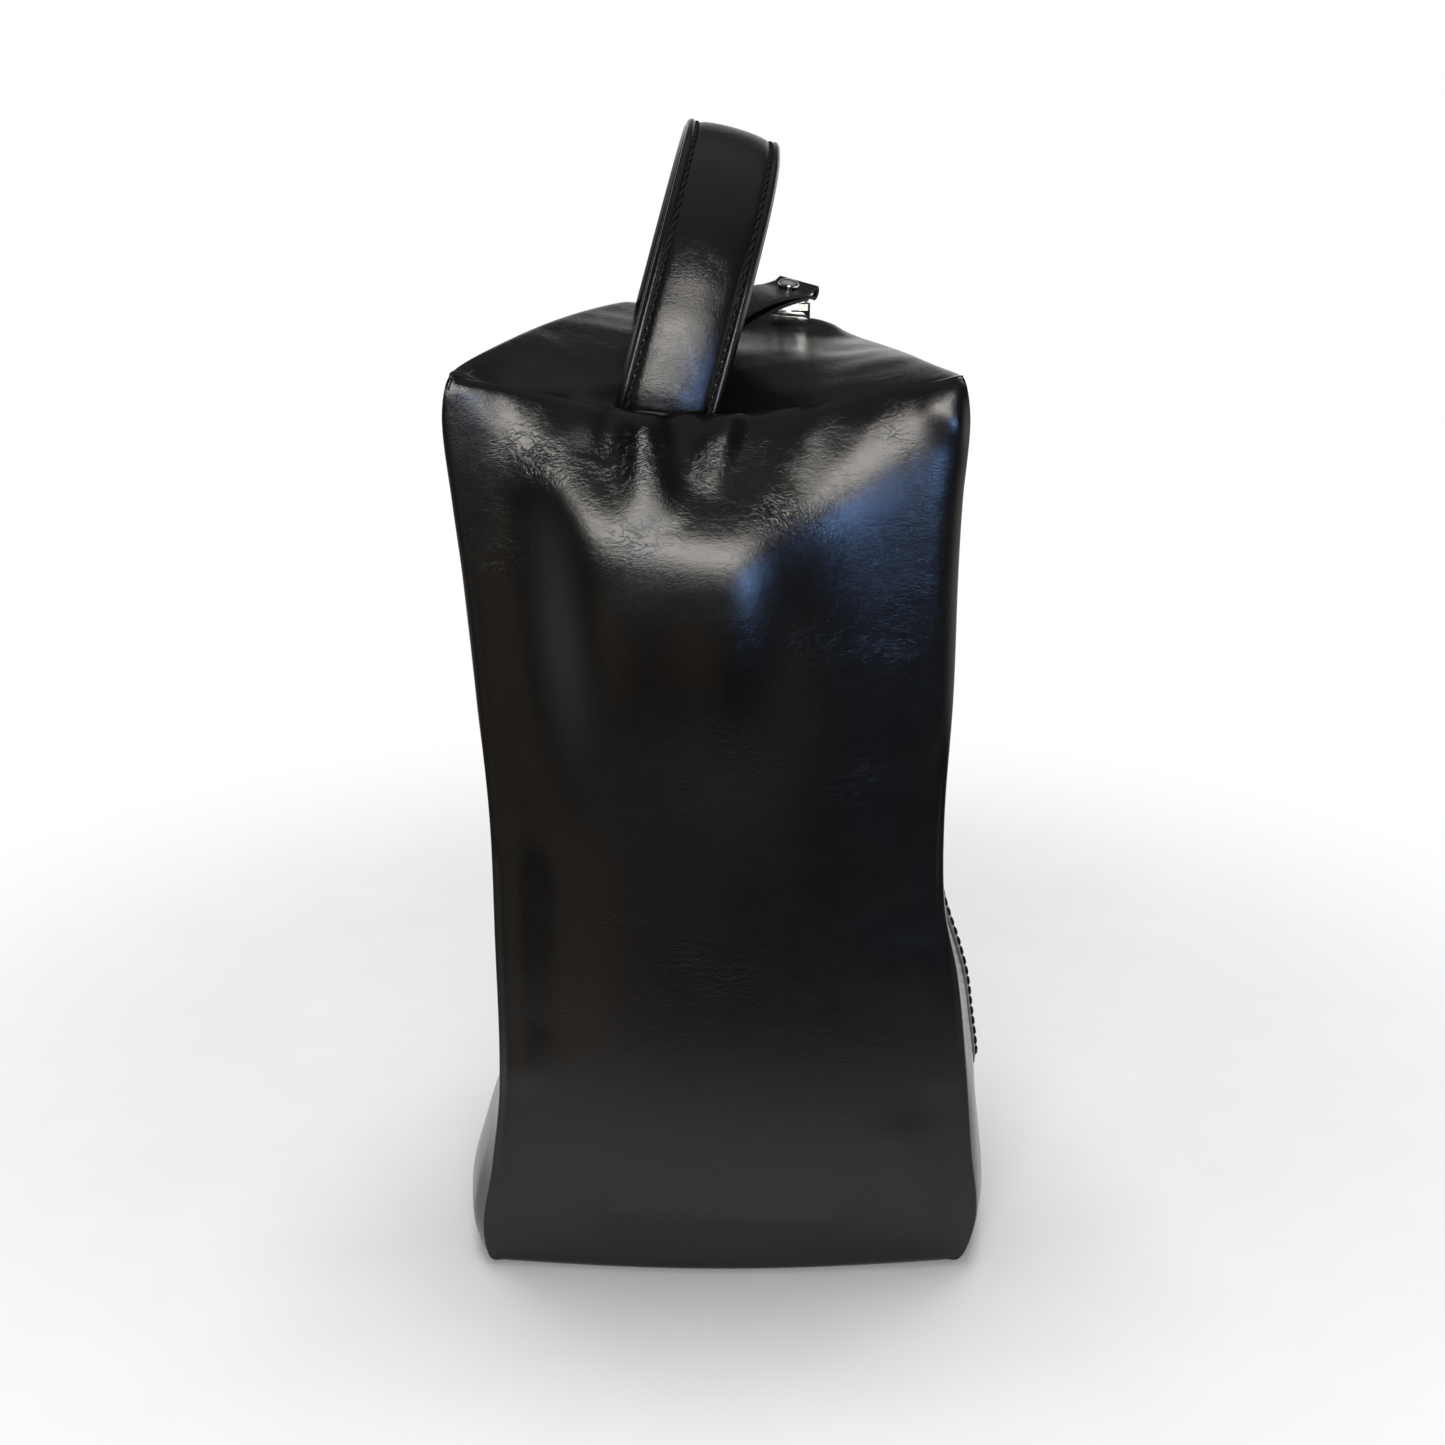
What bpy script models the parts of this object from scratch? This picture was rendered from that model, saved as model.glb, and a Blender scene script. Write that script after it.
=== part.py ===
"""Zipped leather wash bag standing on one end: boxed panels, lining, end-to-end zip,
carry strap on the upper end and a riveted leather pull on the slider.

Metres, +Z up. +X is to the right and +Y away from someone facing the bag's wide base
panel. The origin is on the floor, in the middle of the end that the bag stands on.
"""

import math

import bmesh
import bpy
from mathutils import Matrix, Vector

# ---------------------------------------------------------------- driving dimensions
# Bag body
BAG_LENGTH = 0.258            # height of the front corners above the floor
BAG_DEPTH = 0.128             # base panel to zip panel
BASE_HALF_WIDTH = 0.0665      # nominal half-width of the base panel
ROOF_LEFT = -0.034            # left edge of the narrow zip side at mid height
ROOF_RIGHT = 0.047            # right edge of the narrow zip side at mid height
ROOF_FLARE = 0.004            # the zip side is this much wider at the floor than at mid height
ROOF_RIGHT_LEAN = 0.003       # its right edge comes in this much more by the upper end
LEATHER = 0.0015              # outer leather
CLEARANCE = 0.0003            # air left between pieces that touch
PADDING = 0.0011              # foam behind the base panel
PADDING_SPAN = (0.02, 0.98)   # how far the foam reaches across and up, as shares
LINING = 0.0006               # lining cloth
LINING_AIR = 0.0006           # between the leather and the lining, which hangs loose in it

# Soft form of the upper end
SEAM_SAG = 0.011              # drop of the front seam at its middle
SEAM_RECESS = 0.009           # how far the middle of the front seam sinks back
VALLEY_DEPTH = 0.0055         # hollow behind the front seam
VALLEY_PLACE = 0.09           # where it lies, as a share of the depth
RIDGE_RISE = 0.003            # upper left edge above its corners
BACK_LEFT_RISE = 0.001        # upper back left corner above the front corners
BACK_RIGHT_DROP = 0.009       # upper back right corner below the front corners
BROW_SLOPE = 0.50             # how steeply the base panel runs back above the swag's brow line
BROW_TURN = 0.0060            # how gently it turns there
BROW_TOP = 0.80               # share of the height where the swag's swell starts to fade
BROW_FADE = 0.24              # share of the height over which it fades
FOOT_BOW = 0.0055             # how far the lower edge of the base panel bows out

# Zip
ZIP_X = 0.0205                # centre line of the zip
ZIP_SLOT = 0.015              # gap between the two zip panels
NOTCH_DEPTH = 0.0060          # how far the zip's gap runs into the upper end
TAPE_WIDTH = 0.0130           # one tape, from the centre line to its outer edge
TAPE = 0.0005                 # tape thickness
TAPE_EAR = 0.0002             # tape beyond the upper stops
TAPE_SHORT = 0.003            # a tape's wide part ends this far below the upper panel
EAR_MARGIN = 0.0012           # between a tape's narrow end and the side of the notch
CORD = 0.0006                 # the cord that the teeth are set on
STOP_CLIP = 0.0020            # upper stop, along the zip
TOOTH_PITCH = 0.004           # from one tooth to the next on the same tape
TOOTH_HEIGHT = 0.0024         # tooth, through the zip
TOOTH_JAW = 0.0029            # centre line to the outer end of a tooth
TOOTH_REACH = 0.0009          # how far a tooth's head crosses the centre line
TOOTH_SHOULDER = 0.0014       # centre line to where a tooth narrows
TOOTH_JAW_HALF = 0.0012
TOOTH_NECK_HALF = 0.00075
TOOTH_HEAD_HALF = 0.00055
CHAIN_START = 0.009           # first tooth above the floor
STOP_LENGTH = 0.0034          # lower stop
STOP_WALL = 0.0006            # metal of an upper stop
STOP_BITE = 0.0018            # how far an upper stop reaches over its tape
SLIDER_DROP = 0.0014          # the closed slider's middle below the upper edge
CHAIN_OVERRUN = 0.0010        # the teeth run on past the closed slider's middle

# Slider
SLIDER_LENGTH = 0.011
SLIDER_SHOULDER = 0.0104      # width at the upper end
SLIDER_TAIL = 0.0092          # width at the lower end
PLATE = 0.0011
SLIDER_NECK = 0.0016
BRIDGE_THICKNESS = 0.0018
BRIDGE_LENGTH = 0.0062
BRIDGE_WINDOW = 0.0050        # height under the bridge
BRIDGE_ROOF = 0.0011
BRIDGE_LIFT = 0.0006          # the loop's bar rides this much above the window's middle

# Pull
LOOP_WIRE = 0.0016
LOOP_INNER_WIDTH = 0.0064
LOOP_REACH = 0.0114           # between the centres of its two bars
LOOP_LEAN_BACK = 0.14         # slope of the loop, away from the bag
TAB_WIDTH = 0.0130
TAB_LENGTH = 0.055
TAB_LEATHER = 0.0012
TAB_SPLAY = 0.0030            # extra gap between the leaves at the free end
RIVET_PLACE = 0.0066          # fold to rivet
RIVET_HEAD = 0.0066
RIVET_DOME = 0.0016
RIVET_SHANK = 0.0026
LEAF_GAP = 0.0003             # from the tab's middle plane to each leaf at the rivet
PULL_AXIS = Vector((-0.86, 0.45, 0.18)).normalized()
TAB_HEADING = Vector((-0.455, -0.885, -0.035))    # which way the tab lies from its fold

# Carry strap
STRAP_WIDTH = 0.0265
STRAP_FACE = 0.0018
STRAP_CORE = 0.0010
STRAP_BACKING = 0.0014
STRAP_CORE_MARGIN = 0.0035
STRAP_GROOVE_INSET = 0.0027   # stitch groove, from the edge
STRAP_GROOVE_DEPTH = 0.0005
STRAP_FRONT = (-0.0112, -0.0480)   # front root in plan
STRAP_BACK = (-0.0092, 0.0545)     # back root in plan
STRAP_RISE = 0.0471           # crown above the line through the roots
STRAP_SQUARENESS = 2.2        # 2 is an ellipse, more is squarer
STRAP_LEAN = math.radians(15.5)
STRAP_ROLL = math.radians(6)  # the crown rolls this much further than the legs lean
STRAP_ROLL_ONSET = 1.5        # more keeps the roll nearer the crown
STRAP_STANCE = 0.0014         # extra reach allowed for where the strap's ends touch down
END_ANGLES = (10, 28, 46, 64, 79)  # where the rounded strap ends are divided

# Side pocket
POCKET_LEATHER = 0.0013
POCKET_DEPTH_SPAN = (0.20, 0.82)
POCKET_HEIGHT_SPAN = (0.19, 0.80)
POCKET_FULLNESS = 0.0025

# Mesh density
STRAP_STEPS = 30
ARC_STEPS = 8
WIRE_SIDES = 8

# Soft outline of the base panel's two long edges: (share of the height, metres outward
# from BASE_HALF_WIDTH)
LEFT_EDGE = ((0, 0.0015), (0.05, 0.0025), (0.12, -0.0005), (0.22, -0.0034), (0.40, -0.0034),
             (0.53, -0.0030), (0.66, -0.0006), (0.79, 0.0020), (0.87, 0.0041), (0.95, 0.0059),
             (1, 0.0044))
RIGHT_EDGE = ((0, 0.0030), (0.06, 0.0066), (0.14, 0.0046), (0.25, 0.0020), (0.35, -0.0010),
              (0.43, -0.0052), (0.53, -0.0060), (0.66, -0.0046), (0.79, -0.0043),
              (0.87, -0.0037), (0.95, -0.0024), (1, -0.0040))
# Brow line of the swag: (across as a share of BASE_HALF_WIDTH, height as a share of BAG_LENGTH)
BROW_LINE = ((-1.10, 1.0), (-0.92, 0.969), (-0.81, 0.932), (-0.69, 0.891), (-0.57, 0.866),
             (-0.43, 0.849), (-0.27, 0.833), (-0.09, 0.818), (0.09, 0.820), (0.26, 0.843),
             (0.42, 0.880), (0.59, 0.919), (0.72, 0.953), (0.84, 0.977), (1.10, 1.0))
# How far the side panels bulge: (share of the height, metres)
LEFT_BULGE = ((0, 0.012), (0.05, 0.0175), (0.13, 0.0145), (0.23, 0.0092), (0.40, 0.007),
              (0.60, 0.008), (0.85, 0.007), (1, 0.002))
RIGHT_BULGE = ((0, 0.011), (0.06, 0.0140), (0.20, 0.014), (0.30, 0.0105), (0.42, 0.006),
               (0.55, 0.006), (0.80, 0.007), (1, 0.002))

# Rows and columns of the leather panels, as shares of their height and width
ROWS = (0, 0.03, 0.08, 0.14, 0.20, 0.27, 0.35, 0.43, 0.52, 0.61, 0.70, 0.77, 0.82, 0.86, 0.90, 0.93, 0.97, 1)
COLUMNS = (0, 0.05, 0.13, 0.23, 0.34, 0.45, 0.56, 0.67, 0.78, 0.88, 0.95, 1)
DEPTH_ROWS = (0, 0.04, 0.09, 0.14, 0.21, 0.32, 0.46, 0.61, 0.76, 0.88, 1)

PALETTE = {
    "leather": ((0.018, 0.017, 0.016, 1), 0.0, 0.36),
    "strap": ((0.020, 0.019, 0.018, 1), 0.0, 0.34),
    "foam": ((0.30, 0.30, 0.31, 1), 0.0, 0.9),
    "lining": ((0.035, 0.035, 0.038, 1), 0.0, 0.8),
    "tape": ((0.012, 0.012, 0.013, 1), 0.0, 0.75),
    "chrome": ((0.80, 0.80, 0.79, 1), 1.0, 0.12),
    "webbing": ((0.05, 0.05, 0.05, 1), 0.0, 0.85),
}


WELD = 0.00001                # points of two patches this close are one point
FRONT_Y, BACK_Y = -BAG_DEPTH / 2, BAG_DEPTH / 2

# ---------------------------------------------------------------- helpers
def clear_scene():
    for item in list(bpy.data.objects):
        bpy.data.objects.remove(item, do_unlink=True)


def give_material(item, finish):
    colour, metallic, roughness = PALETTE[finish]
    material = bpy.data.materials.new(item.name)
    material.use_nodes = True
    shader = material.node_tree.nodes["Principled BSDF"]
    shader.inputs["Base Color"].default_value = colour
    shader.inputs["Metallic"].default_value = metallic
    shader.inputs["Roughness"].default_value = roughness
    item.data.materials.append(material)


def mesh_object(name, mesh_data, finish, parent=None, matrix=None):
    """One object from a bmesh, faces pointing out, smooth with sharp edges kept."""
    bmesh.ops.recalc_face_normals(mesh_data, faces=mesh_data.faces[:])
    mesh = bpy.data.meshes.new(name)
    mesh_data.to_mesh(mesh)
    mesh_data.free()
    mesh.shade_smooth()
    mesh.set_sharp_from_angle(angle=math.radians(38))
    item = bpy.data.objects.new(name, mesh)
    bpy.context.scene.collection.objects.link(item)
    if finish:
        give_material(item, finish)
    if parent:
        item.parent = parent
        item.matrix_parent_inverse = Matrix.Identity(4)
    if matrix:
        item.matrix_local = matrix
    return item


def axis_empty(name, matrix, parent=None):
    empty = bpy.data.objects.new(name, None)
    bpy.context.scene.collection.objects.link(empty)
    empty.empty_display_size = 0.01
    if parent:
        empty.parent = parent
    empty.matrix_local = matrix
    return empty


def sheet_body(mesh_data, patches):
    """One closed sheet sewn from patches that share their seams.

    A patch is (outer, inner, columns, rows, open_cell): two surfaces over the same lines,
    and a test for cells that are cut away. Open edges are closed round with a rim.
    """
    places, inner_places, cells = [], [], []

    def number(outer, inner, s, t):
        point = outer(s, t)
        for k, known in enumerate(places):
            if (known - point).length < WELD:
                return k
        places.append(point)
        inner_places.append(inner(s, t))
        return len(places) - 1

    for outer, inner, columns, rows, open_cell in patches:
        corners = {}
        for j in range(len(rows) - 1):
            for i in range(len(columns) - 1):
                if open_cell and open_cell(i, j):
                    continue
                ring = ((i, j), (i + 1, j), (i + 1, j + 1), (i, j + 1))
                for k, m in ring:
                    if (k, m) not in corners:
                        corners[k, m] = number(outer, inner, columns[k], rows[m])
                cells.append([corners[key] for key in ring])
    skin = [mesh_data.verts.new(point) for point in places]
    back = [mesh_data.verts.new(point) for point in inner_places]
    uses = {}
    for cell in cells:
        mesh_data.faces.new([skin[k] for k in cell])
        mesh_data.faces.new([back[k] for k in cell])
        for start, end in zip(cell, cell[1:] + cell[:1]):
            uses[frozenset((start, end))] = uses.get(frozenset((start, end)), 0) + 1
    for edge, count in uses.items():
        if count == 1:
            start, end = edge
            mesh_data.faces.new((skin[start], skin[end], back[end], back[start]))


def prism(outline, low, high, place):
    """A bmesh of a flat outline pushed from low to high; place(u, v, w) gives each point."""
    mesh_data = bmesh.new()
    ends = [[mesh_data.verts.new(place(u, v, w)) for u, v in outline] for w in (low, high)]
    mesh_data.faces.new(ends[0])
    mesh_data.faces.new(ends[1])
    count = len(outline)
    for i in range(count):
        k = (i + 1) % count
        mesh_data.faces.new((ends[0][i], ends[0][k], ends[1][k], ends[1][i]))
    return mesh_data


def modify_boolean(item, other, operation):
    other.hide_render = True
    other.display_type = "WIRE"
    modifier = item.modifiers.new(other.name, "BOOLEAN")
    modifier.operation = operation
    modifier.object = other
    modifier.solver = "EXACT"


def through_stations(stations, share):
    """A smooth curve through (share, value) stations."""
    share = min(max(share, 0.0), 1.0)
    last = len(stations) - 1
    k = 0
    while k < last - 1 and share > stations[k + 1][0]:
        k += 1

    def slope(i):
        low, high = stations[max(i - 1, 0)], stations[min(i + 1, last)]
        return (high[1] - low[1]) / (high[0] - low[0])

    (x0, y0), (x1, y1) = stations[k], stations[k + 1]
    span = x1 - x0
    u = (share - x0) / span
    return ((1 + 2 * u) * (1 - u) ** 2 * y0 + u * (1 - u) ** 2 * span * slope(k)
            + u * u * (3 - 2 * u) * y1 + u * u * (u - 1) * span * slope(k + 1))


def through_line(stations, place):
    """Height over a place on a line of stations that need not start at 0 or end at 1."""
    first, span = stations[0][0], stations[-1][0] - stations[0][0]
    return through_stations([((x - first) / span, y) for x, y in stations], (place - first) / span)


def arch(share, power=1.0):
    return math.sin(math.pi * min(max(share, 0.0), 1.0)) ** power


def mix(a, b, share):
    return a + (b - a) * share


def smooth(low, high, value):
    share = min(max((value - low) / (high - low), 0.0), 1.0)
    return share * share * (3 - 2 * share)


# ---------------------------------------------------------------- form of the bag
# Every layer of the bag is the same form moved inward by its depth below the outer skin.
def corner_height(right, back):
    if not back:
        return BAG_LENGTH
    return BAG_LENGTH + (-BACK_RIGHT_DROP if right else BACK_LEFT_RISE)


def front_x(right, t):
    offset = through_stations(RIGHT_EDGE if right else LEFT_EDGE, t)
    return (BASE_HALF_WIDTH + offset) * (1 if right else -1)


def roof_x(right, t):
    flare = ROOF_FLARE * (1 - 2 * t)
    return (ROOF_RIGHT + flare - ROOF_RIGHT_LEAN * t) if right else (ROOF_LEFT - flare)


def upright_edge(right, back, depth):
    """The corner line between two wall panels, from the floor up, at a depth."""
    sign = 1 if right else -1

    def point(t):
        wide, narrow = front_x(right, t), roof_x(right, t)
        slant = math.atan2(abs(wide - narrow), BAG_DEPTH)
        if back:
            x = narrow - sign * depth * (1 - math.sin(slant)) / math.cos(slant)
            y = BACK_Y - depth
        else:
            x = wide - sign * depth * (1 + math.sin(slant)) / math.cos(slant)
            y = FRONT_Y + depth
        return Vector((x, y, mix(depth, corner_height(right, back) - depth, t)))
    return point


def level_edge(start, end, sag=0.0, recess=0.0, side=0.0, power=1.0):
    """A seam across an end, from one corner to another, with its sag and bow."""
    def point(s):
        along = start.lerp(end, s)
        swell = arch(s, power)
        return Vector((along.x + side * arch(s), along.y + recess * arch(s), along.z + sag * swell))
    return point


def coons(low, high, left, right):
    """The smooth sheet that fills four seams."""
    corners = (low(0), low(1), high(0), high(1))

    def point(s, t):
        return (low(s) * (1 - t) + high(s) * t + left(t) * (1 - s) + right(t) * s
                - corners[0] * (1 - s) * (1 - t) - corners[1] * s * (1 - t)
                - corners[2] * (1 - s) * t - corners[3] * s * t)
    return point


def roof_share(x):
    """Where a line x across the bag meets the back edge of the upper end, as a share."""
    left, right = roof_x(0, 1), roof_x(1, 1)
    return (x - left) / (right - left)


class BagForm:
    """The bag's seams and panels at one depth below its outer surface.

    push moves the middle of the base panel further in, to leave room for the foam.
    """

    def __init__(self, depth, slot_half, push=0.0):
        self.push = push
        self.slot = [roof_share(ZIP_X + side * slot_half) for side in (-1, 1)]
        edge = {(r, b): upright_edge(r, b, depth) for r in (0, 1) for b in (0, 1)}
        foot = {key: line(0) for key, line in edge.items()}
        head = {key: line(1) for key, line in edge.items()}
        self.edge = edge
        foot_front = level_edge(foot[0, 0], foot[1, 0], recess=-FOOT_BOW)
        foot_left = level_edge(foot[0, 0], foot[0, 1], side=-LEFT_BULGE[0][1])
        foot_right = level_edge(foot[1, 0], foot[1, 1], side=RIGHT_BULGE[0][1])
        self.head_front = level_edge(head[0, 0], head[1, 0], sag=-SEAM_SAG, recess=SEAM_RECESS, power=1.3)
        self.head_back = level_edge(head[0, 1], head[1, 1])
        self.foot_back = self.zipped_edge(foot[0, 1], foot[1, 1])
        head_left = level_edge(head[0, 0], head[0, 1], sag=RIDGE_RISE, side=-LEFT_BULGE[-1][1], power=0.6)
        head_right = level_edge(head[1, 0], head[1, 1], side=RIGHT_BULGE[-1][1])
        self.face_sheet = coons(foot_front, self.head_front, edge[0, 0], edge[1, 0])
        self.left_sheet = coons(foot_left, head_left, edge[0, 0], edge[0, 1])
        self.right_sheet = coons(foot_right, head_right, edge[1, 0], edge[1, 1])
        self.upper_sheet = coons(self.head_front, self.head_back, head_left, head_right)
        self.lower_sheet = coons(foot_front, self.foot_back, foot_left, foot_right)

    def base_panel(self, s, t):
        border = min(1.0, s / ACROSS[1], (1 - s) / (1 - ACROSS[-2]), t / ROWS[1], (1 - t) / (1 - ROWS[-2]))
        return self.face_sheet(s, t) + Vector((0, swag(s, t) + self.push * max(border, 0.0), 0))

    def left_panel(self, s, t):
        extra = through_stations(LEFT_BULGE, t) - mix(LEFT_BULGE[0][1], LEFT_BULGE[-1][1], t)
        return self.left_sheet(s, t) - Vector((extra * arch(s), 0, 0))

    def right_panel(self, s, t):
        extra = through_stations(RIGHT_BULGE, t) - mix(RIGHT_BULGE[0][1], RIGHT_BULGE[-1][1], t)
        return self.right_sheet(s, t) + Vector((extra * arch(s), 0, 0))

    def upper_end(self, s, v):
        ratio = v / VALLEY_PLACE
        valley = VALLEY_DEPTH * ratio * math.exp(1 - ratio) * (1 - (1 - arch(s)) ** 4)
        return self.upper_sheet(s, v) - Vector((0, 0, valley))

    def lower_end(self, s, v):
        return self.lower_sheet(s, v)

    def zipped_edge(self, low, high):
        """A straight seam whose lines meet the zip's gap where it comes straight down."""
        knots = [(0, low.x), (1, high.x)]
        knots[1:1] = [(share, self.head_back(share).x) for share in self.slot]

        def point(s):
            k = 0
            while k < 2 and s > knots[k + 1][0]:
                k += 1
            (s0, x0), (s1, x1) = knots[k], knots[k + 1]
            return Vector((mix(x0, x1, (s - s0) / (s1 - s0)), low.y, low.z))
        return point

    def zip_panel(self, right):
        """The strip of the zip side between one corner line and the zip's gap."""
        corner = self.edge[right, 1]
        share = self.slot[right]
        foot, head = self.foot_back(share), self.head_back(share)

        def point(s, t):
            return corner(t).lerp(foot.lerp(head, t), s)
        return point

    def zip_columns(self, right):
        """The upper end's lines that run on down this strip, counted from its corner."""
        if right:
            return sorted((1 - s) / (1 - self.slot[1]) for s in ACROSS if s > self.slot[1] - 1e-9)
        return [s / self.slot[0] for s in ACROSS if s < self.slot[0] + 1e-9]


def trimmed(surface, across, along):
    """The same sheet, pulled in a little at its four seams so that panels stay apart."""
    def point(s, t):
        return surface(across + s * (1 - 2 * across), along + t * (1 - 2 * along))
    return point


def with_lines(shares, lines):
    """The shares with the given lines put in, dropping any share that nearly repeats one."""
    kept = [share for share in shares if all(abs(share - line) > 0.025 for line in lines)]
    return sorted(kept + list(lines))


SKIN = BagForm(0, ZIP_SLOT / 2)


def run_back(place):
    """How far the base panel has run back over the brow line at a place on it."""
    brow = through_line(BROW_LINE, place.x / BASE_HALF_WIDTH) * BAG_LENGTH
    return BROW_SLOPE * BROW_TURN * math.log1p(math.exp(min((place.z - brow) / BROW_TURN, 50.0)))


def swag(s, t):
    """How far the base panel stands back from its plain sheet; the same at every depth."""
    place, seam = SKIN.face_sheet(s, t), SKIN.head_front(s)
    swell = run_back(seam) - (seam.y - FRONT_Y)
    below = max(0.0, BROW_TOP - t) / BROW_FADE
    sheet_recess = (place.y - FRONT_Y) * smooth(0.35, 0.75, t)
    relief = run_back(place) - swell * math.exp(-below * below) - sheet_recess
    return relief * (1 - (1 - arch(s)) ** 6) * smooth(0.0, 0.05, t)


LINING_GAP = TAPE_WIDTH + 0.003        # half of the lining's gap at the zip
LINING_NOTCH = NOTCH_DEPTH + 0.002
ZIP_LINES = [roof_share(ZIP_X + side * half) for half in (ZIP_SLOT / 2, LINING_GAP) for side in (-1, 1)]
NOTCH_LINES = [1 - LINING_NOTCH / BAG_DEPTH, 1 - NOTCH_DEPTH / BAG_DEPTH]
ACROSS = with_lines(COLUMNS, ZIP_LINES)
DEEP = with_lines(DEPTH_ROWS, NOTCH_LINES)


def notch(half, depth):
    """Tells which cells of the upper end lie in the zip's notch."""
    low, high = roof_share(ZIP_X - half), roof_share(ZIP_X + half)
    start = 1 - depth / BAG_DEPTH

    def is_open(i, j):
        s = (ACROSS[i] + ACROSS[i + 1]) / 2
        v = (DEEP[j] + DEEP[j + 1]) / 2
        return low < s < high and v > start
    return is_open


def layer_patches(outer, inner, slot_half, notch_depth, seam):
    """Each panel of one layer as a patch, with seam metres of air between neighbours."""
    across, along, deep = (seam / 2 / size for size in (2 * BASE_HALF_WIDTH, BAG_LENGTH, BAG_DEPTH))

    def patch(name, side, end, columns, rows, open_cell=None):
        return (trimmed(getattr(outer, name), side, end), trimmed(getattr(inner, name), side, end),
                columns, rows, open_cell)

    def zip_patch(right):
        return (trimmed(outer.zip_panel(right), deep, along), trimmed(inner.zip_panel(right), deep, along),
                outer.zip_columns(right), ROWS, None)

    return {
        "base_panel": patch("base_panel", across, along, ACROSS, ROWS),
        "left_side_panel": patch("left_panel", deep, along, DEEP, ROWS),
        "right_side_panel": patch("right_panel", deep, along, DEEP, ROWS),
        "lower_end_panel": patch("lower_end", across, deep, ACROSS, DEEP),
        "upper_end_panel": patch("upper_end", across, deep, ACROSS, DEEP, notch(slot_half, notch_depth)),
        "zip_panel_left": zip_patch(0),
        "zip_panel_right": zip_patch(1),
    }


def build_bag():
    """The leather panels, the foam behind the base panel, the lining and the patch pocket."""
    half = ZIP_SLOT / 2
    skin, skin_inside = BagForm(0, half), BagForm(LEATHER, half)
    for name, panel in layer_patches(skin, skin_inside, half, NOTCH_DEPTH, CLEARANCE).items():
        mesh_data = bmesh.new()
        sheet_body(mesh_data, [panel])
        mesh_object(name, mesh_data, "leather")

    under = LEATHER + CLEARANCE
    foam = [BagForm(under, half, push).base_panel for push in (0, PADDING)]
    mesh_data = bmesh.new()
    sheet_body(mesh_data, [(*foam, lines_within(ACROSS, PADDING_SPAN), lines_within(ROWS, PADDING_SPAN), None)])
    mesh_object("base_padding", mesh_data, "foam")

    hang = LEATHER + LINING_AIR
    lining = [BagForm(depth, LINING_GAP, PADDING + CLEARANCE) for depth in (hang, hang + LINING)]
    mesh_data = bmesh.new()
    sheet_body(mesh_data, layer_patches(*lining, LINING_GAP, LINING_NOTCH, 0).values())
    mesh_object("lining", mesh_data, "lining")

    columns, rows = lines_within(DEEP, POCKET_DEPTH_SPAN), lines_within(ROWS, POCKET_HEIGHT_SPAN)
    pocket = [lifted(skin.right_panel, columns, rows, rise) for rise in (CLEARANCE + POCKET_LEATHER, CLEARANCE)]
    mesh_data = bmesh.new()
    sheet_body(mesh_data, [(*pocket, columns, rows, None)])
    mesh_object("side_pocket_panel", mesh_data, "leather")


def lines_within(lines, span):
    """The grid lines that fall within a span."""
    return [line for line in lines if span[0] <= line <= span[1]]


def lifted(surface, columns, rows, rise):
    """A patch's sheet over a panel: it follows the panel and stands fuller at its middle."""
    def point(s, t):
        step = 0.002
        here = surface(s, t)
        across = surface(s + step, t) - surface(s - step, t)
        upward = surface(s, t + step) - surface(s, t - step)
        normal = across.cross(upward).normalized()
        if normal.x < 0:
            normal = -normal
        u = (s - columns[0]) / (columns[-1] - columns[0])
        v = (t - rows[0]) / (rows[-1] - rows[0])
        return here + normal * (rise + POCKET_FULLNESS * arch(v) * min(1.0, 1.6 * u))
    return point


def end_height(form, x, y):
    """Height of the upper end's surface over a point of the floor plan."""
    s, v = roof_share(x), (y - FRONT_Y) / BAG_DEPTH
    s = min(max(s, 0.0), 1.0)
    for _ in range(12):
        here = form.upper_end(s, v)
        width = form.upper_sheet(1, v).x - form.upper_sheet(0, v).x
        s = min(max(s + (x - here.x) / width, 0.0), 1.0)
        v = min(max(v + (y - here.y) / BAG_DEPTH, 0.0), 1.0)
    return form.upper_end(s, v).z


# ---------------------------------------------------------------- zip
CHAIN_Y = BACK_Y - LEATHER - CLEARANCE - TAPE / 2      # middle plane of the tapes and teeth
TAPE_INNER = TOOTH_JAW + CORD + CLEARANCE
CORNER_LEFT, CORNER_RIGHT = (upright_edge(side, 1, 0)(1) for side in (0, 1))
EDGE_Z = mix(CORNER_LEFT.z, CORNER_RIGHT.z, roof_share(ZIP_X))      # upper edge at the zip
SLIDER_Z = EDGE_Z - SLIDER_DROP                          # middle of the slider at rest
SHOULDER_Z = SLIDER_Z + SLIDER_LENGTH / 2
CLIP_Z = SHOULDER_Z + CLEARANCE
EAR_TOP = CLIP_Z + STOP_CLIP + TAPE_EAR
CHAIN_TOP = SLIDER_Z + CHAIN_OVERRUN                     # the teeth end under the slider's neck
TOOTH_COUNT = int((CHAIN_TOP - CHAIN_START) / TOOTH_PITCH)


def build_tapes():
    wing_top = CORNER_RIGHT.z - 2 * LEATHER - TAPE_SHORT
    ear_half = ZIP_SLOT / 2 - EAR_MARGIN
    foot = LEATHER + LINING + 3 * CLEARANCE
    for name, side in (("zip_tape_left", -1), ("zip_tape_right", 1)):
        outline = ((TAPE_INNER, foot), (TAPE_WIDTH, foot), (TAPE_WIDTH, wing_top),
                   (ear_half, wing_top), (ear_half, EAR_TOP), (TAPE_INNER, EAR_TOP))
        mesh_data = prism(outline, CHAIN_Y - TAPE / 2, CHAIN_Y + TAPE / 2,
                          lambda u, v, w, side=side: Vector((ZIP_X + side * u, w, v)))
        mesh_object(name, mesh_data, "tape")


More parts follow.
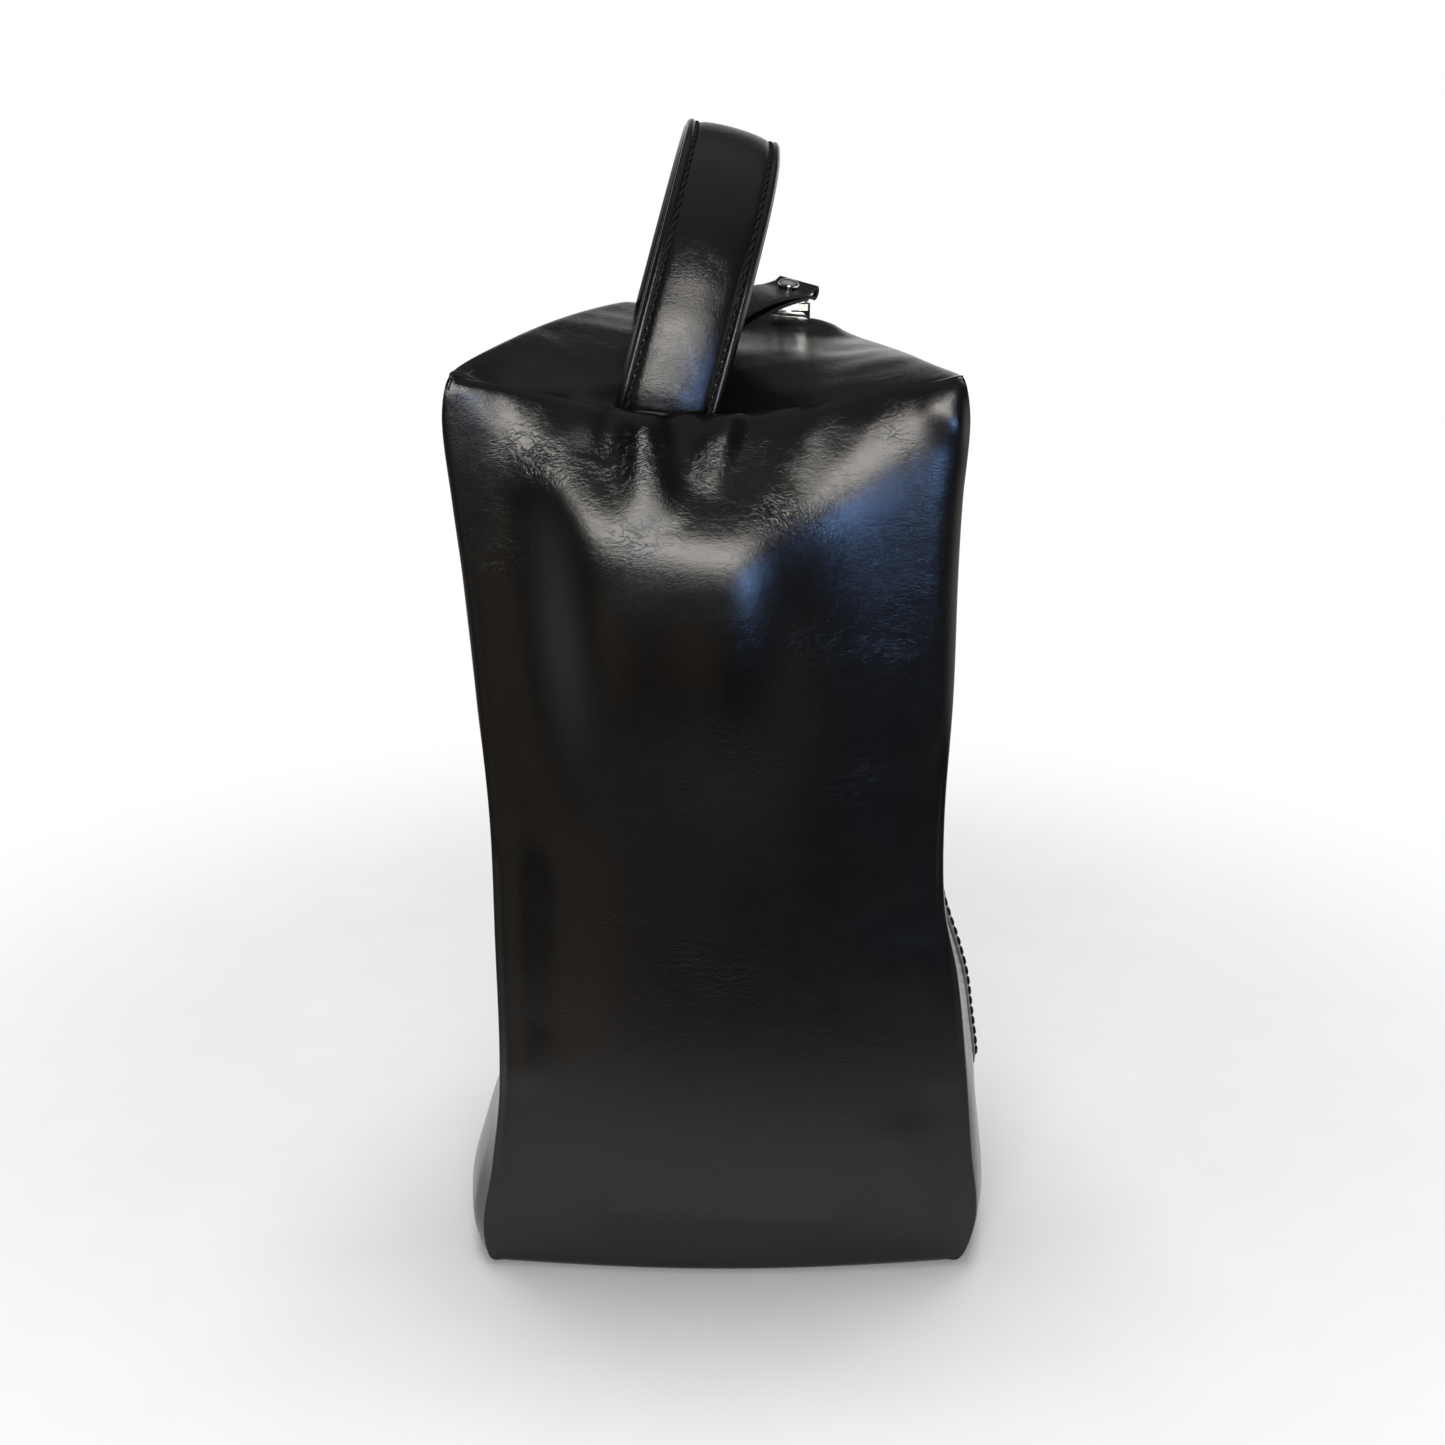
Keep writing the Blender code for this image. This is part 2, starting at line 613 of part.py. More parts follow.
def build_teeth():
    """Two rows of teeth, each on its cord, half a pitch apart so that the heads pass."""
    low, high = CHAIN_Y - TOOTH_HEIGHT / 2, CHAIN_Y + TOOTH_HEIGHT / 2
    tooth = ((-TOOTH_JAW, -TOOTH_JAW_HALF), (-TOOTH_SHOULDER, -TOOTH_JAW_HALF),
             (-TOOTH_REACH, -TOOTH_NECK_HALF), (TOOTH_REACH, -TOOTH_HEAD_HALF),
             (TOOTH_REACH, TOOTH_HEAD_HALF), (-TOOTH_REACH, TOOTH_NECK_HALF),
             (-TOOTH_SHOULDER, TOOTH_JAW_HALF), (-TOOTH_JAW, TOOTH_JAW_HALF))
    cord = TOOTH_JAW + CORD
    for name, side, shift in (("zip_teeth_left", 1, 0), ("zip_teeth_right", -1, 0.5)):
        centres = [CHAIN_START + (k + shift) * TOOTH_PITCH for k in range(TOOTH_COUNT)]
        outline = [(-cord, centres[-1] + TOOTH_JAW_HALF), (-cord, centres[0] - TOOTH_JAW_HALF)]
        outline += [(u, centre + v) for centre in centres for u, v in tooth]
        mesh_data = prism(outline, low, high,
                          lambda u, v, w, side=side: Vector((ZIP_X + side * u, w, v)))
        mesh_object(name, mesh_data, "chrome")


def build_zip_stops():
    """The box at the foot of the zip, and a folded clip on each tape above the slider."""
    top = CHAIN_START - TOOTH_JAW_HALF - CLEARANCE
    half = TOOTH_JAW
    mesh_data = prism(((-half, top - STOP_LENGTH), (half, top - STOP_LENGTH), (half, top), (-half, top)),
                      CHAIN_Y - TOOTH_HEIGHT / 2, CHAIN_Y + TOOTH_HEIGHT / 2,
                      lambda u, v, w: Vector((ZIP_X + u, w, v)))
    stop = mesh_object("zip_bottom_stop", mesh_data, "chrome")
    bevel = stop.modifiers.new("round", "BEVEL")
    bevel.width = 0.0004
    bevel.segments = 2
    bite, wall = TAPE / 2 + CLEARANCE, STOP_WALL
    web, end = TAPE_INNER - CLEARANCE, TAPE_INNER + STOP_BITE
    outline = ((web - wall, -bite - wall), (end, -bite - wall), (end, -bite), (web, -bite),
               (web, bite), (end, bite), (end, bite + wall), (web - wall, bite + wall))
    for name, side in (("zip_top_stop_left", -1), ("zip_top_stop_right", 1)):
        mesh_data = prism(outline, CLIP_Z, CLIP_Z + STOP_CLIP,
                          lambda u, v, w, side=side: Vector((ZIP_X + side * u, CHAIN_Y + v, w)))
        mesh_object(name, mesh_data, "chrome")


def rounded_trapezoid(low_half, high_half, half_length, radius):
    """A plate outline, wider at its upper end, with rounded corners."""
    points = []
    for x_sign, z_sign, half, start in ((1, -1, low_half, -90), (1, 1, high_half, 0),
                                        (-1, 1, high_half, 90), (-1, -1, low_half, 180)):
        centre = (x_sign * (half - radius), z_sign * (half_length - radius))
        for k in range(4):
            angle = math.radians(start + 30 * k)
            points.append((centre[0] + radius * math.cos(angle), centre[1] + radius * math.sin(angle)))
    return points


def build_slider():
    """Two plates joined by a neck, with side rails and a bridge for the pull."""
    in_slider = Matrix.Translation((ZIP_X, CHAIN_Y, SLIDER_Z))
    frame = axis_empty("zip_slider_axis", in_slider)
    gap = TOOTH_HEIGHT / 2 + CLEARANCE
    plate = rounded_trapezoid(SLIDER_TAIL / 2, SLIDER_SHOULDER / 2, SLIDER_LENGTH / 2, 0.0018)

    def flat(u, v, w):
        return Vector((u, w, v))

    slider = mesh_object("zip_slider", prism(plate, gap, gap + PLATE, flat), "chrome", frame)
    lower = mesh_object("slider_lower_plate", prism(plate, -gap - PLATE, -gap, flat), None, frame)
    half_neck = SLIDER_NECK / 2
    neck_low, neck_high = 0.0024, SLIDER_LENGTH / 2 - 0.0006
    neck = mesh_object("slider_neck", prism(
        ((-half_neck * 0.5, neck_low), (half_neck * 0.5, neck_low), (half_neck, neck_high),
         (-half_neck, neck_high)), -gap - PLATE / 2, gap + PLATE / 2, flat), None, frame)
    operands = [lower, neck]
    inner, outer = TOOTH_JAW + CORD + CLEARANCE, SLIDER_TAIL / 2
    rail_end = SLIDER_LENGTH / 2 - 0.0018
    for side in (-1, 1):
        for face in (-1, 1):
            low, high = sorted((face * (TAPE / 2 + CLEARANCE), face * (gap + PLATE / 2)))
            rail = prism(((side * inner, -rail_end), (side * outer, -rail_end),
                          (side * outer, rail_end), (side * inner, rail_end)), low, high, flat)
            operands.append(mesh_object(f"slider_rail_{side}_{face}".replace("-", "m"), rail, None, frame))
    foot = gap + PLATE / 2
    top = gap + PLATE + BRIDGE_WINDOW
    half = BRIDGE_LENGTH / 2
    leg = 0.0011
    bridge_outline = ((-half, foot), (-half + leg, foot), (-half + leg, top - 0.0008),
                      (-half + leg + 0.0008, top), (half - leg - 0.0008, top), (half - leg, top - 0.0008),
                      (half - leg, foot), (half, foot), (half, top), (half - 0.0012, top + BRIDGE_ROOF),
                      (-half + 0.0012, top + BRIDGE_ROOF), (-half, top))
    bridge = prism(bridge_outline, -BRIDGE_THICKNESS / 2, BRIDGE_THICKNESS / 2,
                   lambda u, v, w: Vector((w, v, u)))
    operands.append(mesh_object("slider_bridge", bridge, None, frame))
    for other in operands:
        modify_boolean(slider, other, "UNION")
    return frame


# ---------------------------------------------------------------- pull
def pull_frame():
    """Bridge bar centre, fold centre and the pull's directions at rest."""
    bar_y = CHAIN_Y + TOOTH_HEIGHT / 2 + CLEARANCE + PLATE + BRIDGE_WINDOW / 2 + BRIDGE_LIFT
    bridge_bar = Vector((ZIP_X, bar_y, SLIDER_Z + 0.0006))
    lean = Vector((0, LOOP_LEAN_BACK, 1))
    reach = (lean - PULL_AXIS * lean.dot(PULL_AXIS)).normalized()
    fold = bridge_bar + reach * LOOP_REACH
    return bridge_bar, reach, fold


def basis(x_axis, y_axis, z_axis, origin):
    matrix = Matrix((x_axis, y_axis, z_axis)).transposed().to_4x4()
    matrix.translation = origin
    return matrix


def wire_ring(path, radius):
    """A closed wire along a closed path in its own x-z plane."""
    mesh_data = bmesh.new()
    count = len(path)
    rings = []
    for i in range(count):
        before, after = path[i - 1], path[(i + 1) % count]
        along = (after - before).normalized()
        side = Vector((0, 1, 0))
        out = along.cross(side).normalized()
        ring = []
        for k in range(WIRE_SIDES):
            angle = 2 * math.pi * (k + 0.5) / WIRE_SIDES
            ring.append(mesh_data.verts.new(path[i] + (out * math.cos(angle) + side * math.sin(angle)) * radius))
        rings.append(ring)
    for i in range(count):
        for k in range(WIRE_SIDES):
            m = (k + 1) % WIRE_SIDES
            a, b = rings[i], rings[(i + 1) % count]
            mesh_data.faces.new((a[k], a[m], b[m], b[k]))
    return mesh_data


def build_loop():
    bridge_bar, reach, _ = pull_frame()
    frame = axis_empty("pull_loop_axis", basis(PULL_AXIS, PULL_AXIS.cross(reach) * -1, reach, bridge_bar))
    half = (LOOP_INNER_WIDTH + LOOP_WIRE) / 2
    corner = 0.0014
    path = []
    for x_sign, z_low, start in ((1, 0, -90), (1, 1, 0), (-1, 1, 90), (-1, 0, 180)):
        centre = Vector((x_sign * (half - corner), 0, (LOOP_REACH - corner) if z_low else corner))
        for k in range(4):
            angle = math.radians(start + 30 * k)
            path.append(centre + Vector((math.cos(angle), 0, math.sin(angle))) * corner)
    mesh_object("pull_loop", wire_ring(path, LOOP_WIRE / 2), "chrome", frame)


def tab_directions():
    """Length and upward normal of the tab, both square to the pull's axis."""
    along = (TAB_HEADING - PULL_AXIS * TAB_HEADING.dot(PULL_AXIS)).normalized()
    up = along.cross(PULL_AXIS)
    if up.z < 0:
        up = -up
    return along, up


def build_tab():
    """One leather strip folded over the loop's bar, its leaves parting a little."""
    _, _, fold = pull_frame()
    along, up = tab_directions()
    frame = axis_empty("pull_tab_axis", basis(PULL_AXIS, along, up, fold))
    inner = LOOP_WIRE / 2 + CLEARANCE
    outer = inner + TAB_LEATHER
    arc = [math.radians(90 + 180 * k / ARC_STEPS) for k in range(ARC_STEPS + 1)]
    pinch = RIVET_PLACE - RIVET_HEAD / 2 - CLEARANCE
    pressed = RIVET_PLACE + RIVET_HEAD / 2 + CLEARANCE

    def splay(distance):
        share = max(0.0, (distance - pressed) / (TAB_LENGTH - pressed))
        return LEAF_GAP + TAB_SPLAY * share ** 1.4

    stations = [pinch] + [pressed + (TAB_LENGTH - pressed) * k / 6 for k in range(7)]
    upper_inner = [(d, LEAF_GAP) for d in stations]
    upper_outer = [(d, LEAF_GAP + TAB_LEATHER) for d in stations]
    lower_inner = [(d, -splay(d)) for d in stations]
    lower_outer = [(d, -splay(d) - TAB_LEATHER) for d in stations]
    outside = [(outer * math.cos(a), outer * math.sin(a)) for a in arc]
    inside = [(inner * math.cos(a), inner * math.sin(a)) for a in arc]
    outline = (list(reversed(upper_outer)) + outside + lower_outer
               + list(reversed(lower_inner)) + list(reversed(inside)) + upper_inner)
    half = TAB_WIDTH / 2
    tab = mesh_object("pull_tab", prism(outline, -half, half, lambda u, v, w: Vector((w, u, v))),
                      "leather", frame)
    slot_half = LOOP_WIRE / 2 + CLEARANCE
    slot_end = LOOP_WIRE + 2 * CLEARANCE
    leg = (LOOP_INNER_WIDTH + LOOP_WIRE) / 2
    for side in (-1, 1):
        centre = side * leg
        box = prism(((centre - slot_half, -outer - 0.001), (centre + slot_half, -outer - 0.001),
                     (centre + slot_half, slot_end), (centre - slot_half, slot_end)), -outer - 0.001, 0.0004,
                    lambda u, v, w: Vector((u, v, w)))
        modify_boolean(tab, mesh_object(f"tab_slot_{'left' if side < 0 else 'right'}", box, None, frame),
                       "DIFFERENCE")
    hole = turned_profile(((RIVET_SHANK / 2 + CLEARANCE, 0.004), (RIVET_SHANK / 2 + CLEARANCE, -0.004)), 16)
    bore = mesh_object("tab_rivet_hole", hole, None, frame)
    bore.location = (0, RIVET_PLACE, 0)
    modify_boolean(tab, bore, "DIFFERENCE")
    build_rivet(frame)


def turned_profile(profile, sides):
    """A solid of revolution about z from an outer profile that runs top to bottom."""
    mesh_data = bmesh.new()
    top = mesh_data.verts.new((0, 0, profile[0][1]))
    rings = []
    for radius, height in profile:
        rings.append([mesh_data.verts.new((radius * math.cos(2 * math.pi * k / sides),
                                           radius * math.sin(2 * math.pi * k / sides), height))
                      for k in range(sides)])
    bottom = mesh_data.verts.new((0, 0, profile[-1][1]))
    for k in range(sides):
        m = (k + 1) % sides
        mesh_data.faces.new((top, rings[0][k], rings[0][m]))
        for upper, lower in zip(rings, rings[1:]):
            mesh_data.faces.new((upper[k], lower[k], lower[m], upper[m]))
        mesh_data.faces.new((bottom, rings[-1][m], rings[-1][k]))
    return mesh_data


def build_rivet(frame):
    """A domed cap above the tab and a flanged post whose shank passes through both leaves."""
    head = RIVET_HEAD / 2
    face = LEAF_GAP + TAB_LEATHER
    cap_foot = face + CLEARANCE
    dome = [(head * math.sin(math.radians(a)), cap_foot + 0.0005 + RIVET_DOME * math.cos(math.radians(a)))
            for a in (12, 30, 50, 70, 90)]
    cap = mesh_object("rivet_cap", turned_profile(dome + [(head, cap_foot), (0.0008, cap_foot)], 20),
                      "chrome", frame)
    shank = RIVET_SHANK / 2
    flange = RIVET_HEAD / 2 - 0.0003
    drop = -face - CLEARANCE - 0.0002
    post = mesh_object("rivet_post", turned_profile(
        ((shank, cap_foot - CLEARANCE), (shank, drop), (flange, drop), (flange, drop - 0.0004),
         (flange - 0.0006, drop - 0.0009), (0.0010, drop - 0.0010)), 20), "chrome", frame)
    for item in (cap, post):
        item.location = (0, RIVET_PLACE, 0)


# ---------------------------------------------------------------- carry strap
ROUND_END = STRAP_WIDTH / 2
STRAP_STACK = STRAP_FACE + STRAP_CORE + STRAP_BACKING + 2 * CLEARANCE


def strap_root(form, x, y):
    """The centre of a strap end, whose round outline stands on the upper end."""
    reach = STRAP_STACK / 2 + STRAP_STANCE
    height = -1.0
    for i in range(-6, 7):
        across = ROUND_END * i / 6.2
        for along in (-reach, 0, reach):
            under = end_height(form, x + across, y + along)
            height = max(height, under + math.sqrt(ROUND_END ** 2 - across ** 2))
    return Vector((x, y, height + CLEARANCE))


def strap_frame():
    """The strap's lean axis through its two roots, with the strap upright about it."""
    form = BagForm(0, ZIP_SLOT / 2)
    front, back = strap_root(form, *STRAP_FRONT), strap_root(form, *STRAP_BACK)
    along = (back - front).normalized()
    side = along.cross(Vector((0, 0, 1))).normalized()
    return basis(side, along, side.cross(along), front), (back - front).length


def strap_path(span):
    """Places, outward normals, half-widths and rolls along the strap, end to end."""
    def rounded(y, normal):
        return [(Vector((0, y, -ROUND_END * math.cos(math.radians(a)))), Vector((0, normal, 0)),
                 ROUND_END * math.sin(math.radians(a)), 0) for a in END_ANGLES]

    power = 2 / STRAP_SQUARENESS
    half = span / 2
    places = rounded(0, -1)
    for k in range(STRAP_STEPS + 1):
        angle = math.pi * k / STRAP_STEPS
        c, s = math.cos(angle), math.sin(angle)
        y = half - half * math.copysign(abs(c) ** power, c)
        z = STRAP_RISE * abs(s) ** power
        out = Vector((0, -math.copysign(abs(c) ** (2 - power), c) / half, abs(s) ** (2 - power) / STRAP_RISE))
        places.append((Vector((0, y, z)), out.normalized(), ROUND_END, STRAP_ROLL * abs(s) ** STRAP_ROLL_ONSET))
    return places + list(reversed(rounded(span, 1)))


def strap_layer(name, frame, span, section, finish):
    """A closed band whose section is (across, out) points at full width."""
    mesh_data = bmesh.new()
    rings = []
    for centre, out, half_width, roll in strap_path(span):
        across = Vector((1, 0, 0)) * math.cos(roll) - out * math.sin(roll)
        outward = Vector((1, 0, 0)) * math.sin(roll) + out * math.cos(roll)
        across *= half_width / ROUND_END
        rings.append([mesh_data.verts.new(centre + across * u + outward * v) for u, v in section])
    count = len(section)
    mesh_data.faces.new(rings[0])
    mesh_data.faces.new(rings[-1])
    for a, b in zip(rings, rings[1:]):
        for k in range(count):
            m = (k + 1) % count
            mesh_data.faces.new((a[k], a[m], b[m], b[k]))
    mesh_object(name, mesh_data, finish, frame)


def build_strap():
    matrix, span = strap_frame()
    frame = axis_empty("carry_strap_axis", matrix @ Matrix.Rotation(STRAP_LEAN, 4, "Y"))
    half = STRAP_WIDTH / 2
    base = -STRAP_STACK / 2
    strap_layer("strap_backing", frame, span,
                ((-half, base + 0.0005), (-half, base + STRAP_BACKING), (half, base + STRAP_BACKING),
                 (half, base + 0.0005), (half - 0.0006, base), (-half + 0.0006, base)), "strap")
    core = base + STRAP_BACKING + CLEARANCE
    core_half = half - STRAP_CORE_MARGIN
    strap_layer("strap_core", frame, span,
                ((-core_half, core), (-core_half, core + STRAP_CORE), (core_half, core + STRAP_CORE),
                 (core_half, core)), "webbing")
    face = core + STRAP_CORE + CLEARANCE
    top = face + STRAP_FACE
    groove = half - STRAP_GROOVE_INSET
    right_side = ((0, top + 0.0003), (groove - 0.0012, top - 0.0001), (groove, top - STRAP_GROOVE_DEPTH),
                  (groove + 0.0011, top - 0.0001), (half - 0.0004, top - 0.0005), (half, face + 0.0006),
                  (half - 0.0004, face))
    section = [(-u, v) for u, v in reversed(right_side[1:])] + list(right_side)
    strap_layer("strap_face", frame, span, section, "strap")


def build():
    clear_scene()
    build_bag()
    build_tapes()
    build_teeth()
    build_zip_stops()
    build_slider()
    build_loop()
    build_tab()
    build_strap()


build()
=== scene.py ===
"""Dressed model of a black leather wash bag that stands on one end.

The leather is made of the same seams and panels as the solids, at a finer step and with
its gathers, rolled seams and grain. Lengths are in metres unless a comment says otherwise,
+Z up, floor at z = 0. The base panel faces -Y and the zip side +Y.
"""
import math

import bmesh
import bpy
import numpy as np
from mathutils import Matrix, Vector, noise


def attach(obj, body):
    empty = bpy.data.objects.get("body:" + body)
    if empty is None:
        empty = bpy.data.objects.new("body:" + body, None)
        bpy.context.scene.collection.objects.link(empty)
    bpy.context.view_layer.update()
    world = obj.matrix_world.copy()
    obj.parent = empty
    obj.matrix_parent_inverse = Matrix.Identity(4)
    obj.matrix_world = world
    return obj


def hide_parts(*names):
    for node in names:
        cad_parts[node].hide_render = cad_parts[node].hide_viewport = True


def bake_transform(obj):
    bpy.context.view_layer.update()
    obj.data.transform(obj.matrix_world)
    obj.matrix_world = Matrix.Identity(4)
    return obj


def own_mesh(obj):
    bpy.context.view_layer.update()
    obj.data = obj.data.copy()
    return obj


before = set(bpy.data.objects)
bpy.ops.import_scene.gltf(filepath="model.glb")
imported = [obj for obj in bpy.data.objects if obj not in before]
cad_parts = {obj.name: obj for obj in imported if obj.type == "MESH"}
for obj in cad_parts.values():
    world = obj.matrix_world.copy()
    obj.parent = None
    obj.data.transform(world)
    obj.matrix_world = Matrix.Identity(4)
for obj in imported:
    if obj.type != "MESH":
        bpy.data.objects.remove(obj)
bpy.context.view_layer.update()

# ------------------------------ sizes of the bag
BAG_LENGTH = 0.258
BAG_DEPTH = 0.128
BASE_HALF_WIDTH = 0.0665
ROOF_LEFT = -0.034
ROOF_RIGHT = 0.047
ROOF_FLARE = 0.004
SEAM_SAG = 0.011
SEAM_RECESS = 0.009
VALLEY_DEPTH = 0.0055
VALLEY_PLACE = 0.09
RIDGE_RISE = 0.003
BACK_LEFT_RISE = 0.001
BACK_RIGHT_DROP = 0.009
FOOT_BOW = 0.0055
ZIP_X = 0.0205
ZIP_SLOT = 0.015
NOTCH_DEPTH = 0.006
LEATHER = 0.0013
LINING_DEPTH = 0.0034
PLAIN_CREASE = 0.15      # how far the fine creases show where nothing creases the leather
FRONT_Y, BACK_Y = -BAG_DEPTH / 2, BAG_DEPTH / 2
# How far the upright seams and the sides stand out, at shares of the height
LEFT_EDGE = ((0, 0.0015), (0.05, 0.0025), (0.12, -0.0005), (0.22, -0.0034), (0.40, -0.0034),
             (0.53, -0.0030), (0.66, -0.0006), (0.79, 0.0020), (0.87, 0.0041), (0.95, 0.0059),
             (1, 0.0044))
RIGHT_EDGE = ((0, 0.0030), (0.06, 0.0066), (0.14, 0.0046), (0.25, 0.0020), (0.35, -0.0010),
              (0.43, -0.0052), (0.53, -0.0060), (0.66, -0.0046), (0.79, -0.0043),
              (0.87, -0.0037), (0.95, -0.0024), (1, -0.0040))
LEFT_BULGE = ((0, 0.012), (0.05, 0.0175), (0.13, 0.0145), (0.23, 0.0092), (0.40, 0.007),
              (0.60, 0.008), (0.85, 0.007), (1, 0.002))
RIGHT_BULGE = ((0, 0.011), (0.06, 0.0140), (0.20, 0.014), (0.30, 0.0105), (0.42, 0.006),
               (0.55, 0.006), (0.80, 0.007), (1, 0.002))

# The swag: height of the brow line across the base panel (x, z)
BROW_LINE = ((-0.0665, 0.2605), (-0.061, 0.2530), (-0.054, 0.2425), (-0.046, 0.2300),
             (-0.038, 0.2235), (-0.0285, 0.2195), (-0.018, 0.2168), (-0.006, 0.2142),
             (0.006, 0.2146), (0.017, 0.2192), (0.028, 0.2275), (0.039, 0.2370),
             (0.048, 0.2460), (0.056, 0.2520), (0.0665, 0.2575))
# How the swag runs back over the brow line: (slope, how gently it turns, how far below it starts)
BROW_TURNS = ((0.44, 0.0036, 0.0), (0.10, 0.0080, 0.008))
# Straight ridges and furrows (from u, v to u, v, half-width, height), all in millimetres:
# the gathers that run down from the seam, the dents and swells below the swag, both over x and z,
# and the folds and tucks of the upper end, over x and y
GATHERS = ((-21.5, 251, -17, 218, 5.8, 5.6), (-32, 255, -37, 238, 4.2, 1.7),
           (4, 251, -7, 227, 4.8, 4.2), (11, 251, 8, 229, 2.6, 0.8), (27, 253, 17, 230, 4.0, 1.2))
DENTS = ((60, 150, 52, 110, 10.0, -0.9), (66, 112, 62, 60, 7.0, 0.4), (-56, 122, -57, 64, 7.0, 0.8),
         (-46, 116, -50, 78, 9.0, -0.5), (-61, 56, -58, 20, 7.0, 0.6), (52, 40, 58, 14, 9.0, 0.6),
         (-30, 20, 30, 17, 6.0, 0.5), (56, 249, 60, 245, 5.0, 0.8))
END_FOLDS = ((-62, -60, -40, -48, 3.2, -1.4), (62, -60, 40, -47, 3.2, -1.4),
             (-50, -46, -24, -30, 6.0, 0.9), (50, -44, 30, -32, 7.0, 0.3),
             (34, -52, 18, -50, 3.4, 0.8), (26, -20, 34, 10, 9.0, -0.5), (15, 56, 26, 56, 12.0, 3.6))
# Patches of fine creases on the base panel (x, z, half-width, half-height in mm, strength)
CREASES = ((-47, 237, 9, 9, 0.9), (-28, 236, 12, 8, 0.9), (-3, 234, 6, 6, 0.8), (14, 222, 8, 6, 0.6),
           (40, 241, 14, 6, 0.5), (-20, 217, 16, 7, 0.4), (-48, 169, 12, 10, 0.16),
           (22, 185, 24, 20, 0.2), (39, 147, 14, 12, 0.22), (-8, 95, 30, 12, 0.16),
           (-30, 104, 16, 12, 0.14), (10, 165, 30, 22, 0.16), (-55, 215, 10, 25, 0.22),
           (48, 190, 12, 24, 0.16))


# ------------------------------ curves and sheets
def through_stations(stations, share):
    """A smooth curve through (share, value) stations, at an array of shares."""
    xs, ys = np.array(stations, float).T
    share = np.asarray(share, float)
    k = np.clip(np.searchsorted(xs, share, side="right") - 1, 0, len(xs) - 2)
    before = np.maximum(np.arange(len(xs)) - 1, 0)
    after = np.minimum(np.arange(len(xs)) + 1, len(xs) - 1)
    slopes = (ys[after] - ys[before]) / (xs[after] - xs[before])
    span = xs[k + 1] - xs[k]
    u = np.clip((share - xs[k]) / span, 0, 1)
    return ((1 + 2 * u) * (1 - u) ** 2 * ys[k] + u * (1 - u) ** 2 * span * slopes[k]
            + u * u * (3 - 2 * u) * ys[k + 1] + u * u * (u - 1) * span * slopes[k + 1])


def arch(share, power=1.0):
    return np.sin(np.pi * np.clip(share, 0, 1)) ** power


def mix(a, b, share):
    return a + (b - a) * share


def smooth(low, high, value):
    u = np.clip((np.asarray(value, float) - low) / (high - low), 0, 1)
    return u * u * (3 - 2 * u)


def inside_ends(run):
    """0 at both ends of a run of distances, and 1 from a reach inside them."""
    return smooth(0, ENDS_REACH, run) * smooth(0, ENDS_REACH, run[-1] - run)


def fall(gap, reach):
    """1 at no distance, and 0 from a reach on."""
    return np.clip(1 - gap / reach, 0, 1) ** 2


def points(x, y, z):
    x, y, z = np.broadcast_arrays(x, y, z)
    return np.stack([x, y, z], -1).astype(float)


def run_lengths(line):
    """Distances along a line of points, from its first."""
    return np.concatenate([[0], np.cumsum(np.linalg.norm(np.diff(line, axis=0), axis=-1))])


def corner_height(right, back):
    return BAG_LENGTH + back * (-BACK_RIGHT_DROP if right else BACK_LEFT_RISE)


def upright_edge(right, back):
    sign = 1 if right else -1

    def line(t):
        t = np.asarray(t, float)
        if back:
            flare = ROOF_FLARE * (1 - 2 * t)
            x = ROOF_RIGHT + flare - 0.003 * t if right else ROOF_LEFT - flare
            return points(x, BACK_Y, t * corner_height(right, back))
        x = (BASE_HALF_WIDTH + through_stations(RIGHT_EDGE if right else LEFT_EDGE, t)) * sign
        return points(x, FRONT_Y, t * corner_height(right, back))
    return line


def level_edge(start, end, sag=0.0, recess=0.0, side=0.0, power=1.0):
    def line(s):
        s = np.asarray(s, float)
        share = s[..., None]
        bend = points(side * arch(s), recess * arch(s), sag * arch(s, power))
        return start * (1 - share) + end * share + bend
    return line


def coons(low, high, left, right):
    """The smooth sheet that fills four seams, over a grid of shares."""
    c00, c10, c01, c11 = low(0.0), low(1.0), high(0.0), high(1.0)

    def sheet(s, t):
        u, v = np.asarray(s)[..., None], np.asarray(t)[..., None]
        return (low(s) * (1 - v) + high(s) * v + left(t) * (1 - u) + right(t) * u
                - c00 * (1 - u) * (1 - v) - c10 * u * (1 - v) - c01 * (1 - u) * v - c11 * u * v)
    return sheet


EDGE = {(r, b): upright_edge(r, b) for r in (0, 1) for b in (0, 1)}
FOOT = {key: line(0.0) for key, line in EDGE.items()}
HEAD = {key: line(1.0) for key, line in EDGE.items()}
foot_front = level_edge(FOOT[0, 0], FOOT[1, 0], recess=-FOOT_BOW)
foot_left = level_edge(FOOT[0, 0], FOOT[0, 1], side=-LEFT_BULGE[0][1])
foot_right = level_edge(FOOT[1, 0], FOOT[1, 1], side=RIGHT_BULGE[0][1])
head_front = level_edge(HEAD[0, 0], HEAD[1, 0], sag=-SEAM_SAG, recess=SEAM_RECESS, power=1.3)
head_back = level_edge(HEAD[0, 1], HEAD[1, 1])
head_left = level_edge(HEAD[0, 0], HEAD[0, 1], sag=RIDGE_RISE, side=-LEFT_BULGE[-1][1], power=0.6)
head_right = level_edge(HEAD[1, 0], HEAD[1, 1], side=RIGHT_BULGE[-1][1])


def roof_share(x):
    return (x - HEAD[0, 1][0]) / (HEAD[1, 1][0] - HEAD[0, 1][0])


SLOT_SIDES = (ZIP_X - ZIP_SLOT / 2, ZIP_X + ZIP_SLOT / 2)
SLOT = tuple(float(roof_share(x)) for x in SLOT_SIDES)


def foot_back(s):
    """The foot's back seam, whose lines meet the zip's gap where it comes straight down."""
    low, high = FOOT[0, 1], FOOT[1, 1]
    return points(np.interp(s, (0, *SLOT, 1), (low[0], *SLOT_SIDES, high[0])), low[1], low[2])


